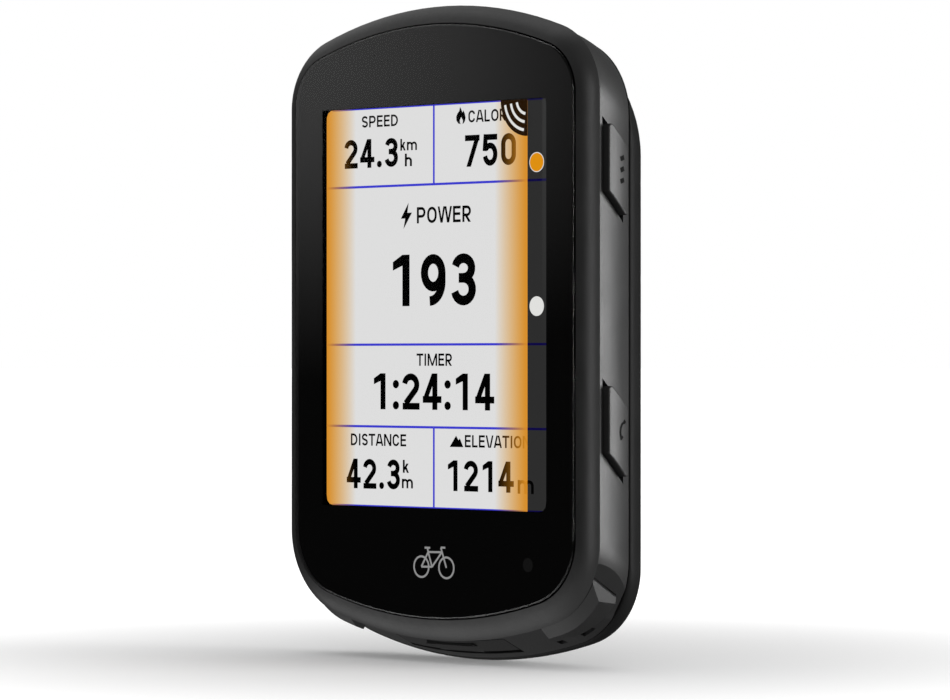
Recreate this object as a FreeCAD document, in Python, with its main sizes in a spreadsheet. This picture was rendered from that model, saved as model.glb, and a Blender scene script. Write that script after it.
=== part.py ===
import FreeCAD, Part
import math
import os
import re
import Sketcher

# A handlebar cycling computer with keys, built around its colour display.
#
# Frame: X to the right as the rider sees it, Y from the display towards the back, Z up along the
# display. The origin is the middle of the flat end face of the quarter-turn mount. "Depth" below
# is always the distance behind the outer face of the lens.

# name, value in millimetres or degrees
DIMENSIONS = [
    ("overall_width", 57.8),
    ("overall_depth", 19.6),
    # one line per outline: half width, top, bottom, bow of top and bottom, corner radii
    ("lens_side", 25.4), ("lens_top", 40.25), ("lens_bottom", -36.9),
    ("lens_topbow", 63.5), ("lens_bottombow", 66.5), ("lens_topcorner", 6.7), ("lens_bottomcorner", 8.6),
    ("rim_side", 28.0), ("rim_top", 42.75), ("rim_bottom", -39.85),
    ("rim_topbow", 66.2), ("rim_bottombow", 69.2), ("rim_topcorner", 9.4), ("rim_bottomcorner", 11.2),
    ("band_side", 27.65), ("band_top", 42.3), ("band_bottom", -39.5),
    ("band_topbow", 66.0), ("band_bottombow", 69.0), ("band_topcorner", 9.2), ("band_bottomcorner", 11.0),
    ("belly_side", 27.8), ("belly_top", 41.7), ("belly_bottom", -40.78),
    ("belly_topbow", 66.0), ("belly_bottombow", 69.0), ("belly_topcorner", 9.85), ("belly_bottomcorner", 11.3),
    ("seam_side", 27.35), ("seam_top", 40.5), ("seam_bottom", -42.3),
    ("seam_topbow", 66.0), ("seam_bottombow", 69.0), ("seam_topcorner", 10.2), ("seam_bottomcorner", 11.2),
    ("rear_side", 26.9), ("rear_top", 38.9), ("rear_bottom", -42.4),
    ("rear_topbow", 66.0), ("rear_bottombow", 69.0), ("rear_topcorner", 14.5), ("rear_bottomcorner", 10.0),
    ("back_side", 22.0), ("back_top", 32.2), ("back_bottom", -39.0),
    ("back_topbow", 61.0), ("back_bottombow", 64.0), ("back_topcorner", 9.5), ("back_bottomcorner", 7.5),
    ("crown_side", 12.0), ("crown_top", 20.0), ("crown_bottom", -22.0),
    ("crown_topbow", 40.0), ("crown_bottombow", 42.0), ("crown_topcorner", 7.0), ("crown_bottomcorner", 7.0),
    ("cavity_side", 24.9), ("cavity_top", 37.0), ("cavity_bottom", -36.7),
    ("cavity_topbow", 63.0), ("cavity_bottombow", 66.0), ("cavity_topcorner", 6.5),
    ("cavity_bottomcorner", 8.5),
    ("well_side", 24.0), ("well_top", 35.3), ("well_bottom", -38.8),
    ("well_topbow", 60.0), ("well_bottombow", 63.0), ("well_topcorner", 12.0), ("well_bottomcorner", 8.5),
    # depths of the shells
    ("lens_thickness", 1.1), ("ledge_depth", 1.3), ("rim_front", 0.2), ("rim_depth", 2.1),
    ("band_depth", 2.35), ("belly_depth", 5.0), ("ledge_back", 2.6), ("seam_depth", 8.2), ("cover_depth", 8.4),
    ("rear_depth", 10.8), ("back_depth", 13.55), ("crown_depth", 14.4), ("well_depth", 12.2),
    ("lens_gap", 0.18), ("ledge_width", 2.2),
    # display stack
    ("display_middle", 3.65), ("display_width", 40.1), ("display_height", 52.5),
    ("panel_depth", 2.5), ("backlight_depth", 3.5), ("midframe_depth", 4.1),
    ("board_depth", 6.4), ("board_back", 7.4),
    # side keys
    ("key_front", 3.0), ("key_rear", 6.7), ("key_slant", 3.6), ("key_length", 9.1),
    ("key_crest", 4.6), ("key_fall_front", 0.2), ("key_fall_rear", 0.28),
    ("key_floor", 26.1), ("key_gap", 0.15), ("key_travel", 0.4), ("key_play", 0.05),
    ("stem_radius", 0.8), ("stem_hole", 0.86), ("stem_end", 23.6), ("clip_face", 24.85),
    ("clip_thickness", 0.3), ("clip_radius", 1.5), ("groove_radius", 0.55), ("seal_radius", 0.28),
    ("seal_seat", 1.42),
    ("menu_top", 27.05), ("back_key_top", -5.95), ("power_top", 27.05), ("up_top", 8.2), ("down_top", -10.6),
    # the two corner keys
    ("corner_angle", 144.2), ("corner_floor", 39.04), ("corner_wall", 37.84), ("corner_outer", 50.0),
    ("corner_high", 3.4), ("corner_high_rear", 1.7), ("corner_low", -7.8), ("corner_low_rear", -9.0),
    ("corner_front", 2.45), ("corner_rear", 7.1), ("corner_rear_low", 4.9),
    ("corner_end_front", 40.65), ("corner_end_rear", 42.45), ("corner_end_ridge", 42.5),
    ("corner_ridge_depth", 3.9), ("corner_ridge", 0.9), ("corner_stem", -2.1), ("corner_stem_depth", 4.3),
    # the flat relief beside each corner key, and the tether's tunnel behind the right-hand one
    ("relief_reach", 5.2), ("relief_level", 39.4), ("relief_fall", 0.444), ("relief_spread", 0.247),
    ("relief_end", -1.5), ("relief_start", 6.5),
    ("tether_front", 6.4), ("tether_rear", 7.2), ("tether_floor", 40.2), ("tether_roof", 41.2),
    # weather cap over the port
    ("cap_half", 10.0), ("cap_front", 3.35), ("cap_axis_depth", 6.46), ("cap_axis_inset", 0.6),
    ("cap_inner", 0.7), ("cap_gap", 0.15), ("cap_hinge_half", 4.0), ("plug_reach", 2.8),
    ("port_middle", 4.86), ("port_half", 4.45), ("port_thickness", 3.08), ("port_mouth", -37.6),
    ("port_length", 7.3),
    # fasteners and mount
    ("cover_screw_x", 21.6), ("cover_screw_high", 28.9), ("cover_screw_low", -25.4), ("boss_radius", 2.3),
    ("board_screw_high_x", 16.5), ("board_screw_high", 32.95), ("board_screw_low_x", 12.5),
    ("board_screw_low", -34.2), ("post_radius", 1.7),
    ("mount_flange", 15.0), ("mount_flange_front", 14.0), ("mount_flange_back", 15.3),
    ("mount_neck", 10.6), ("mount_tab", 13.2), ("mount_tab_front", 17.9), ("mount_tab_angle", 50.0),
    ("mount_screw_circle", 7.9),
]
ALIASES = {name for name, _ in DIMENSIONS}

doc = FreeCAD.newDocument("cycling_computer")
sheet = doc.addObject("Spreadsheet::Sheet", "dims")
for row, (alias, number) in enumerate(DIMENSIONS, start=1):
    sheet.set(f"A{row}", alias)
    sheet.set(f"B{row}", str(number))
    sheet.setAlias(f"B{row}", alias)
doc.recompute()

parts = {}


def bound(text):
    """An expression on the sheet, written with the bare names of its cells."""
    return re.sub(r"[a-z_]+", lambda m: f"dims.{m[0]}" if m[0] in ALIASES else m[0], str(text))


def size(text):
    """The present value of an expression on the sheet."""
    value = sheet.evalExpression(bound(text))
    return float(getattr(value, "Value", value))


def tie(thing, **expressions):
    """Binds properties of an object to expressions; a double underscore stands for a dot."""
    for name, text in expressions.items():
        thing.setExpression(name.replace("__", "."), bound(text))
    return thing


def put(thing, x="0", depth="overall_depth", z="0"):
    """Places an object's own origin at x, a depth behind the lens face, and z."""
    return tie(thing, Placement__Base__x=x, Placement__Base__y=f"{depth} - overall_depth",
               Placement__Base__z=z)


def keep(label, thing):
    """Makes a finished object one of the sub-parts that are written out."""
    thing.Label = label
    parts[label] = thing
    return thing


def block(name, x, depth, z):
    """A box between two values each of x, depth and z."""
    box = doc.addObject("Part::Box", name)
    tie(box, Length=f"({x[1]}) - ({x[0]})", Width=f"({depth[1]}) - ({depth[0]})",
        Height=f"({z[1]}) - ({z[0]})")
    return put(box, f"{x[0]}", f"{depth[0]}", f"{z[0]}")


def rod(name, radius, x, depth, z, direction, length):
    """A cylinder that starts at a point and runs along a direction."""
    bar = doc.addObject("Part::Cylinder", name)
    bar.Placement.Rotation = FreeCAD.Rotation(FreeCAD.Vector(0, 0, 1), FreeCAD.Vector(*direction))
    tie(bar, Radius=radius, Height=length)
    return put(bar, x, depth, z)


def cut(name, base, tools):
    result = doc.addObject("Part::Cut", name)
    result.Base = base
    result.Tool = tools[0] if len(tools) == 1 else fuse(name + "_tools", tools)
    return result


def fuse(name, shapes):
    result = doc.addObject("Part::MultiFuse", name)
    result.Shapes = shapes
    return result


def common(name, shapes):
    result = doc.addObject("Part::MultiCommon", name)
    result.Shapes = shapes
    return result


def mirrored(name, source):
    """The same shape on the other side of the middle plane."""
    result = doc.addObject("Part::Mirroring", name)
    result.Source = source
    result.Normal = FreeCAD.Vector(1, 0, 0)
    return result


def body(name):
    return doc.addObject("PartDesign::Body", name)


def plane(owner, role):
    return next(f for f in owner.Origin.OriginFeatures if f.Role == role)


def sketch(owner, name, role, offset):
    """A sketch on one of the body's own planes, moved along that plane's normal."""
    drawing = owner.newObject("Sketcher::SketchObject", name)
    drawing.AttachmentSupport = (plane(owner, role), [""])
    drawing.MapMode = "FlatFace"
    tie(drawing, AttachmentOffset__Base__z=offset)
    return drawing


def outline(owner, name, depth, first, second=None, share="0", grow="0"):
    """A closed outline across the body: straight sides, a bowed top and bottom, round corners.
    It may lie a share of the way from one named outline to a second, and be grown evenly."""
    second = second or first

    def of(part, sign=""):
        blend = f"{first}_{part} + ({second}_{part} - {first}_{part}) * ({share})"
        return f"({blend} {sign} ({grow}))" if sign else f"({blend})"

    side, top, bottom = of("side", "+"), of("top", "+"), of("bottom", "-")
    topbow, bottombow = of("topbow", "+"), of("bottombow", "+")
    topcorner, bottomcorner = of("topcorner", "+"), of("bottomcorner", "+")
    drawing = sketch(owner, name, "XZ_Plane", f"overall_depth - ({depth})")

    half, high, low = size(side), size(top), size(bottom)
    bow_up, bow_down = size(topbow), size(bottombow)
    round_up, round_down = size(topcorner), size(bottomcorner)
    middle_up, middle_down = high - bow_up, low + bow_down
    reach_up, reach_down = half - round_up, half - round_down
    corner_up = middle_up + math.sqrt((bow_up - round_up) ** 2 - reach_up ** 2)
    corner_down = middle_down - math.sqrt((bow_down - round_down) ** 2 - reach_down ** 2)
    turn_up = math.atan2(corner_up - middle_up, reach_up)
    turn_down = math.atan2(middle_down - corner_down, reach_down)

    def arc(x, z, radius, start, end):
        circle = Part.Circle(FreeCAD.Vector(x, z, 0), FreeCAD.Vector(0, 0, 1), radius)
        return Part.ArcOfCircle(circle, start, end)

    def line(x, start, end):
        return Part.LineSegment(FreeCAD.Vector(x, start, 0), FreeCAD.Vector(x, end, 0))

    drawing.addGeometry([
        line(half, corner_down, corner_up),
        arc(reach_up, corner_up, round_up, 0, turn_up),
        arc(0, middle_up, bow_up, turn_up, math.pi - turn_up),
        arc(-reach_up, corner_up, round_up, math.pi - turn_up, math.pi),
        line(-half, corner_up, corner_down),
        arc(-reach_down, corner_down, round_down, math.pi, math.pi + turn_down),
        arc(0, middle_down, bow_down, math.pi + turn_down, 2 * math.pi - turn_down),
        arc(reach_down, corner_down, round_down, -turn_down, 0),
    ])
    rules = [Sketcher.Constraint("Tangent", edge, 2, (edge + 1) % 8, 1) for edge in range(8)]
    rules += [Sketcher.Constraint("Vertical", 0), Sketcher.Constraint("Vertical", 4)]
    rules += [Sketcher.Constraint("PointOnObject", edge, 3, -2) for edge in (2, 6)]
    drawing.addConstraint(rules)
    measured = [
        (("Radius", 1, round_up), topcorner), (("Radius", 3, round_up), topcorner),
        (("Radius", 5, round_down), bottomcorner), (("Radius", 7, round_down), bottomcorner),
        (("Radius", 2, bow_up), topbow), (("Radius", 6, bow_down), bottombow),
        (("DistanceX", -1, 1, 0, 1, half), side), (("DistanceX", 4, 1, -1, 1, half), side),
        (("DistanceY", 2, 3, -1, 1, -middle_up), f"{topbow} - {top}"),
        (("DistanceY", -1, 1, 6, 3, middle_down), f"{bottombow} + {bottom}"),
    ]
    for rule, text in measured:
        index = drawing.addConstraint(Sketcher.Constraint(*rule))
        tie(drawing, **{f"Constraints[{index}]": text})
    return drawing


def polygon(owner, name, role, offset, corners):
    """A closed polygon whose corners are pairs of expressions."""
    drawing = sketch(owner, name, role, offset)
    places = [FreeCAD.Vector(size(across), size(up), 0) for across, up in corners]
    count = len(corners)
    for number in range(count):
        drawing.addGeometry(Part.LineSegment(places[number], places[(number + 1) % count]))
    for number in range(count):
        drawing.addConstraint(Sketcher.Constraint("Coincident", number, 2, (number + 1) % count, 1))
    for number, (across, up) in enumerate(corners):
        for kind, text in (("DistanceX", across), ("DistanceY", up)):
            value = size(text)
            ends = (-1, 1, number, 1) if value >= 0 else (number, 1, -1, 1)
            text = text if value >= 0 else f"0 - ({text})"
            index = drawing.addConstraint(Sketcher.Constraint(kind, *ends, abs(value)))
            tie(drawing, **{f"Constraints[{index}]": text})
    return drawing


def pad(owner, name, drawing, length, reverse=False):
    feature = owner.newObject("PartDesign::Pad", name)
    feature.Profile = drawing
    feature.Reversed = reverse
    return tie(feature, Length=length)


def loft(owner, name, drawings, ruled):
    feature = owner.newObject("PartDesign::AdditiveLoft", name)
    feature.Profile = drawings[0]
    feature.Sections = drawings[1:]
    feature.Ruled = ruled
    return feature


def slab(name, start, end, first, grow="0"):
    """A straight plate with one of the named outlines, between two depths."""
    owner = body(name)
    drawing = outline(owner, name + "_outline", start, first, grow=grow)
    pad(owner, name + "_pad", drawing, f"({end}) - ({start})", reverse=True)
    return owner


def rounded(name, owner, radius, picks):
    """Rounds the edges of a finished body for which picks(edge) is true."""
    doc.recompute()
    shape = owner.Tip.Shape
    names = [f"Edge{n}" for n, edge in enumerate(shape.Edges, start=1) if picks(edge)]
    last = owner.Tip
    feature = owner.newObject("PartDesign::Fillet", name)
    feature.Base = (last, names)
    return tie(feature, Radius=radius)


def soft_edges(name, thing, radius, picks):
    """Rounds the edges of any finished shape for which picks(edge) is true."""
    doc.recompute()
    feature = doc.addObject("Part::Fillet", name)
    feature.Base = thing
    feature.Edges = [(n, radius, radius) for n, edge in enumerate(thing.Shape.Edges, start=1) if picks(edge)]
    return feature


def corner_block(name, side, floor):
    """A half space behind one of the lower corner keys, as a big box in that key's own frame."""
    box = doc.addObject("Part::Box", name)
    box.Placement.Rotation = FreeCAD.Rotation(FreeCAD.Vector(0, 1, 0), side * size("corner_angle"))
    reach = 18.0
    box.Length = 2 * reach
    box.Width = size("overall_depth") + 2
    box.Height = 15.0
    corner = box.Placement.Rotation.multVec(FreeCAD.Vector(-reach, 0, size(floor)))
    box.Placement.Base = corner + FreeCAD.Vector(0, -size("overall_depth") - 1, 0)
    return box


# ---------------------------------------------------------------- lens and display

def lies_at(edge, depth):
    """True for an edge that lies flat at one depth."""
    box = edge.BoundBox
    y = size(f"{depth} - overall_depth")
    return abs(box.YMin - y) < 1e-3 and abs(box.YMax - y) < 1e-3


lens = slab("lens_body", "0", "lens_thickness", "lens")
rounded("lens_edge", lens, "0.25", lambda edge: lies_at(edge, "0"))
keep("front_lens", lens)

half_view = "display_width / 2"
view_top = "display_middle + display_height / 2"
view_bottom = "display_middle - display_height / 2"
glue = slab("glue_body", "lens_thickness", "ledge_depth", "lens", grow="0 - 0.4")
keep("lens_adhesive", cut("lens_adhesive_cut", glue, [
    block("glue_window", (f"0 - {half_view} - 0.4", f"{half_view} + 0.4"), ("0.5", "2"),
          (f"{view_bottom} - 0.4", f"{view_top} + 0.4")),
    rod("glue_sensor_hole", "2.6", "17.3", "0.5", "0 - 29.35", (0, 1, 0), "1.5"),
]))
FILM_SPANS = (("solar_film_left", (f"0 - {half_view}", "0 - 14.7")), ("solar_film_right", ("11.5", "16.76")))
for label, x in FILM_SPANS:
    keep(label, block(label, x, ("lens_thickness", "ledge_depth"), (view_bottom, view_top)))

keep("display_panel", block("display_panel", ("0 - 21.4", "21.4"), ("ledge_depth", "panel_depth"),
                            ("display_middle - 30.5", "display_middle + 27.6")))
keep("backlight_unit", block("backlight_unit", ("0 - 21", "21"), ("panel_depth", "backlight_depth"),
                             ("display_middle - 28.6", "display_middle + 27.4")))
plate = block("midframe_plate", ("0 - 22.6", "22.6"), ("backlight_depth", "midframe_depth"),
              ("0 - 32", "30.9"))
slots = [block(f"midframe_window_{n}", (f"{x} - 7", f"{x} + 7"), ("3", "5"), (f"{z} - 9", f"{z} + 9"))
         for n, (x, z) in enumerate([(-11, -10), (11, -10), (-11, 17), (11, 17)])]
port_notch = block("midframe_notch", ("0 - 4.9", "4.9"), ("3", "5"), ("0 - 33", "0 - 29.9"))
plate_corners = [corner_block(f"midframe_corner_{side}", side, "corner_wall - 5.2") for side in (-1, 1)]
keep("display_frame", cut("display_frame_cut", plate, slots + [port_notch] + plate_corners))
flex_x = ("0 - 10.2", "0 - 5.2")
flex_run = block("flex_run", flex_x, ("panel_depth", "5.9"), ("0 - 32.6", "0 - 32.4"))
flex_foot = block("flex_foot", flex_x, ("panel_depth", "panel_depth + 0.2"), ("0 - 32.4", "0 - 26.6"))
flex_plug = block("flex_plug", ("0 - 10", "0 - 5.4"), ("5.5", "board_depth"), ("0 - 33.4", "0 - 32.4"))
keep("display_flex", fuse("display_flex_fuse", [flex_run, flex_foot, flex_plug]))
keep("ambient_light_sensor", fuse("light_sensor_fuse", [
    block("light_sensor_case", ("15.8", "18.8"), ("2", "backlight_depth"), ("0 - 30.6", "0 - 28.1")),
    rod("light_sensor_dome", "0.9", "17.3", "1.6", "0 - 29.35", (0, 1, 0), "0.5"),
]))

# ---------------------------------------------------------------- front housing

shell = body("housing_outer")
rim_turns = [math.radians(a) for a in (15, 27, 39, 51, 62)]
rim_span = math.sin(rim_turns[-1]) - math.sin(rim_turns[0])
rim_drop = math.cos(rim_turns[0]) - math.cos(rim_turns[-1])
rim_curve = [((math.sin(turn) - math.sin(rim_turns[0])) / rim_span,
              (math.cos(rim_turns[0]) - math.cos(turn)) / rim_drop) for turn in rim_turns]
rim_sections = [
    outline(shell, f"rim_{n}", f"rim_front + (rim_depth - rim_front) * {fall:.5f}",
            "lens", "rim", f"{share:.5f}")
    for n, (share, fall) in enumerate(rim_curve)
]
loft(shell, "rim_loft", rim_sections, ruled=False)
step_sections = [
    outline(shell, "step_rim", "rim_depth", "rim"),
    outline(shell, "step_band", "band_depth", "band"),
]
loft(shell, "step_loft", step_sections, ruled=True)
BARREL = (("front", "band_depth", "band"), ("belly", "belly_depth", "belly"), ("rear", "seam_depth", "seam"))
band_sections = [outline(shell, f"band_{end}", depth, name) for end, depth, name in BARREL]
loft(shell, "band_loft", band_sections, ruled=False)


def inside(name, start, end, first, grow="0", wall="corner_wall"):
    """A plate or a hollow with a named outline, cut off short of both corner keys."""
    whole = slab(name + "_slab", start, end, first, grow)
    corners = [corner_block(f"{name}_corner_{side}", side, wall) for side in (-1, 1)]
    return cut(name, whole, corners)


def key_corners(top, grow):
    """The slanted outline of a side key in depth and height, grown evenly."""
    rise = f"({grow}) * 2.414"
    fall = f"({grow}) * 0.414"
    front = f"key_front - ({grow}) - overall_depth"
    rear = f"key_rear + ({grow}) - overall_depth"
    return [
        (front, f"{top} + {rise}"),
        (front, f"{top} - key_length - {fall}"),
        (rear, f"{top} - key_length - key_slant - {rise}"),
        (rear, f"{top} - key_slant + {fall}"),
    ]


def key_prism(name, side, top, grow, inner, outer):
    """A prism through the side wall with a side key's outline."""
    owner = body(name)
    offset = inner if side > 0 else f"0 - ({outer})"
    drawing = polygon(owner, name + "_outline", "YZ_Plane", offset, key_corners(top, grow))
    pad(owner, name + "_pad", drawing, f"({outer}) - ({inner})")
    return owner


SIDE_KEYS = [("power", -1, "power_top"), ("up", -1, "up_top"), ("down", -1, "down_top"),
             ("menu", 1, "menu_top"), ("back", 1, "back_key_top")]
stem_depth = "(key_front + key_rear) / 2"


def stem_height(top):
    return f"{top} - (key_length + key_slant) / 2"


def corner_prism(name, grow, inner, outer):
    """A prism with the outline of the right-hand corner key, along the way that it is pressed."""
    owner = body(name)
    owner.Placement.Rotation = FreeCAD.Rotation(FreeCAD.Vector(0, 1, 0), size("corner_angle"))
    corners = [
        (f"0 - corner_high - ({grow})", f"corner_front - ({grow}) - overall_depth"),
        (f"0 - corner_low + ({grow})", f"corner_front - ({grow}) - overall_depth"),
        (f"0 - corner_low_rear + ({grow})", f"corner_rear_low + ({grow}) - overall_depth"),
        (f"0 - corner_high_rear - ({grow})", f"corner_rear + ({grow}) - overall_depth"),
    ]
    drawing = polygon(owner, name + "_outline", "XY_Plane", inner, corners)
    pad(owner, name + "_pad", drawing, f"({outer}) - ({inner})")
    return owner


def corner_rod(name, radius, inner, outer):
    """A cylinder on the axis of the right-hand corner key, between two distances from the origin."""
    turn = FreeCAD.Rotation(FreeCAD.Vector(0, 1, 0), size("corner_angle"))
    bar = doc.addObject("Part::Cylinder", name)
    tie(bar, Radius=radius, Height=f"({outer}) - ({inner})")
    local = FreeCAD.Vector(-size("corner_stem"), size("corner_stem_depth - overall_depth"), size(inner))
    bar.Placement = FreeCAD.Placement(turn.multVec(local), turn)
    return bar


def corner_box(name, along, depth, outward):
    """A box beside the right-hand corner key: along it, in depth, and outward from the origin."""
    turn = FreeCAD.Rotation(FreeCAD.Vector(0, 1, 0), size("corner_angle"))
    box = doc.addObject("Part::Box", name)
    tie(box, Length=f"({along[1]}) - ({along[0]})", Width=f"({depth[1]}) - ({depth[0]})",
        Height=f"({outward[1]}) - ({outward[0]})")
    local = FreeCAD.Vector(-size(along[1]), size(f"{depth[0]} - overall_depth"), size(outward[0]))
    box.Placement = FreeCAD.Placement(turn.multVec(local), turn)
    return box


def relief(name):
    """The space outside the flat relief, a plane that slopes down to the upper end of the corner key."""
    owner = body(name)
    owner.Placement.Rotation = FreeCAD.Rotation(FreeCAD.Vector(0, 1, 0), size("corner_angle"))
    sections = []
    for end, depth in (("front", "band_depth"), ("rear", "seam_depth + 0.1")):
        level = f"relief_level + relief_spread * ({depth} - band_depth) + relief_fall * relief_reach"
        sections.append(polygon(owner, f"{name}_{end}", "XZ_Plane", f"overall_depth - ({depth})", [
            ("0 - relief_start", f"{level} - relief_fall * relief_start"),
            ("0 - relief_end", f"{level} - relief_fall * relief_end"),
            ("0 - relief_end", "corner_outer"),
            ("0 - relief_start", "corner_outer"),
        ]))
    loft(owner, name + "_loft", sections, ruled=True)
    return owner


tilt = math.degrees(math.atan2(size("band_bottom - seam_bottom"), size("seam_depth - band_depth")))
lean = FreeCAD.Rotation(FreeCAD.Vector(1, 0, 0), -tilt)
drop = size("band_bottom") - math.tan(math.radians(tilt)) * size("cap_axis_depth - band_depth")
cap_axis = FreeCAD.Vector(0, size("cap_axis_depth - overall_depth"),
                          drop + size("cap_axis_inset") / math.cos(math.radians(tilt)))


def cap_block(name, x, along, inward):
    """A box in the tilted frame of the underside, whose origin is the weather cap's hinge axis."""
    box = doc.addObject("Part::Box", name)
    box.Length = x[1] - x[0]
    box.Width = along[1] - along[0]
    box.Height = inward[1] - inward[0]
    corner = lean.multVec(FreeCAD.Vector(x[0], along[0], inward[0]))
    box.Placement = FreeCAD.Placement(cap_axis + corner, lean)
    return box


def cap_rod(name, radius, half):
    bar = doc.addObject("Part::Cylinder", name)
    bar.Radius = radius
    bar.Height = 2 * half
    turn = FreeCAD.Rotation(FreeCAD.Vector(0, 0, 1), FreeCAD.Vector(1, 0, 0))
    bar.Placement = FreeCAD.Placement(cap_axis - FreeCAD.Vector(half, 0, 0), turn)
    return bar


cap_half, cap_gap = size("cap_half"), size("cap_gap")
cap_length = (size("cap_axis_depth") - size("cap_front")) / math.cos(math.radians(tilt))
cap_inner, bead = size("cap_inner"), size("cap_axis_inset")

hollow = inside("housing_hollow", "ledge_back", "seam_depth + 1", "cavity")
tools = [
    slab("lens_pocket", "0 - 1", "ledge_depth", "lens", grow="lens_gap"),
    slab("housing_window", "ledge_depth - 0.1", "ledge_back + 0.1", "lens", grow="0 - ledge_width"),
    hollow,
]
for label, side, top in SIDE_KEYS:
    tools.append(key_prism(label + "_pocket", side, top, "key_gap", "key_floor", "30"))
    inward = (-side, 0, 0)
    tools.append(rod(label + "_hole", "stem_hole", f"{side} * 27", stem_depth, stem_height(top), inward, "3"))
    seat_x = f"{side} * 25.55"
    tools.append(rod(label + "_seat", "seal_seat", seat_x, stem_depth, stem_height(top), inward, "1"))
corner_tools = [
    corner_prism("start_pocket", "key_gap", "corner_floor", "corner_outer"),
    corner_rod("start_hole", "stem_hole", "corner_wall - 1", "corner_floor + 1"),
    corner_rod("start_seat", "seal_seat", "corner_wall - 1", "corner_wall + 0.65"),
    relief("start_relief"),
]
tools += corner_tools + [mirrored(tool.Name + "_left", tool) for tool in corner_tools]

# The recess of the weather cap, the round trough of its bead, and the port's way in.
port_top = "cavity_bottom + 1"
tools += [
    cap_block("cap_recess", (-cap_half - cap_gap, cap_half + cap_gap), (-cap_length - cap_gap, bead + 0.2),
              (-4, cap_inner + cap_gap)),
    block("port_way", ("0 - port_half - 0.25", "port_half + 0.25"),
          ("port_middle - 1.35", "port_middle + 1.35"), ("port_mouth - 2.6", port_top)),
    block("port_seat", ("0 - port_half - 0.65", "port_half + 0.65"),
          ("port_middle - 2.1", "port_middle + 2.1"), ("port_mouth - 0.05", port_top)),
]
# The tether's tunnel: two mouths that a channel joins behind the right-hand corner key.
tether_depth = ("tether_front", "tether_rear")
for label, along, outward in (("upper", ("0 - 5.8", "0 - 3.6"), ("tether_floor", "corner_outer")),
                              ("lower", ("0 - 9.7", "0 - 8.6"), ("tether_floor", "corner_outer")),
                              ("channel", ("0 - 9.7", "0 - 3.6"), ("tether_floor", "tether_roof"))):
    tools.append(corner_box(f"tether_{label}", along, tether_depth, outward))
# The groove of the seal in the rear face.
groove_outer = slab("groove_outer", "seam_depth - 0.6", "seam_depth + 1", "seam", "0 - 0.85")
groove_inner = slab("groove_inner", "seam_depth - 0.7", "seam_depth + 1.1", "seam", "0 - 1.75")
seal_groove = cut("seal_groove", groove_outer, [groove_inner])
tools.append(seal_groove)
open_shell = cut("housing_cut", shell, tools)

bosses, boss_holes = [], []
for side in (-1, 1):
    for z in ("cover_screw_high", "cover_screw_low"):
        tag = f"{z}_{'left' if side < 0 else 'right'}"
        bosses.append(rod(f"boss_{tag}", "boss_radius", f"{side} * cover_screw_x", "4.4", z, (0, 1, 0),
                          "seam_depth - 4.4"))
        web = ("cover_screw_x", "cavity_side + 0.4")
        if side < 0:
            web = ("0 - cavity_side - 0.4", "0 - cover_screw_x")
        bosses.append(block(f"web_{tag}", web, ("4.4", "seam_depth - 0.9"), (f"{z} - 1.6", f"{z} + 1.6")))
        boss_holes.append(rod(f"pilot_{tag}", "0.62", f"{side} * cover_screw_x", "5", z, (0, 1, 0), "4"))
    for level, wall in (("high", 1), ("low", -1)):
        x, z = f"board_screw_{level}_x", f"board_screw_{level}"
        tag = f"{z}_{'left' if side < 0 else 'right'}"
        bosses.append(rod(f"post_{tag}", "post_radius", f"{side} * {x}", "ledge_back", z, (0, 1, 0),
                          "board_depth - ledge_back"))
        foot = (z, f"{z} + 2.9") if wall > 0 else (f"{z} - 1.6", z)
        bosses.append(block(f"post_web_{tag}", (f"{side} * {x} - 1.2", f"{side} * {x} + 1.2"),
                            ("ledge_back", "board_depth"), foot))
        boss_holes.append(rod(f"post_pilot_{tag}", "0.5", f"{side} * {x}", "4", z, (0, 1, 0), "3"))
solid_shell = fuse("housing_fuse", [open_shell] + bosses)
keep("front_housing", cut("front_housing_cut", solid_shell, boss_holes))

# ---------------------------------------------------------------- rear cover

cover = body("cover_outer")
first_section = outline(cover, "cover_lip_outline", "seam_depth", "seam", grow="0 - 0.35")
pad(cover, "cover_lip", first_section, "0.3", reverse=True)
side_sections = [
    outline(cover, "cover_seam", "cover_depth", "seam"),
    outline(cover, "cover_rear", "rear_depth", "rear"),
]
for number, (share, fall) in enumerate([(0.27, 0.58), (0.58, 0.85), (1.0, 1.0)]):
    side_depth = f"rear_depth + (back_depth - rear_depth) * {fall}"
    side_sections.append(outline(cover, f"cover_side_{number}", side_depth, "rear", "back", f"{share}"))
loft(cover, "cover_sides", side_sections, ruled=False)
crown_sections = [
    outline(cover, "crown_edge", "back_depth", "back"),
    outline(cover, "crown_middle", "back_depth + (crown_depth - back_depth) * 0.7", "back", "crown", "0.5"),
    outline(cover, "crown_top", "crown_depth", "crown"),
]
loft(cover, "cover_crown", crown_sections, ruled=False)

well = inside("cover_well", "seam_depth - 1", "well_depth", "well", wall="corner_wall")
pillars = []
cover_holes = [rod("mount_seat", "mount_flange + 0.1", "0", "mount_flange_front", "0", (0, 1, 0), "3")]
screw_places = [(side, z) for side in (-1, 1) for z in ("cover_screw_high", "cover_screw_low")]
for number, (side, z) in enumerate(screw_places):
    x = f"{side} * cover_screw_x"
    pillars.append(rod(f"pillar_{number}", "boss_radius", x, "seam_depth", z, (0, 1, 0),
                       "well_depth - seam_depth + 0.5"))
    web = ("cover_screw_x", "well_side + 0.4") if side > 0 else ("0 - well_side - 0.4", "0 - cover_screw_x")
    pillars.append(block(f"pillar_web_{number}", web, ("seam_depth + 0.3", "well_depth + 0.3"),
                         (f"{z} - 1.6", f"{z} + 1.6")))
    cover_holes.append(rod(f"cover_hole_{number}", "0.9", x, "seam_depth - 1", z, (0, 1, 0), "8"))
    cover_holes.append(rod(f"cover_sink_{number}", "1.75", x, "11", z, (0, 1, 0), "5"))
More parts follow.
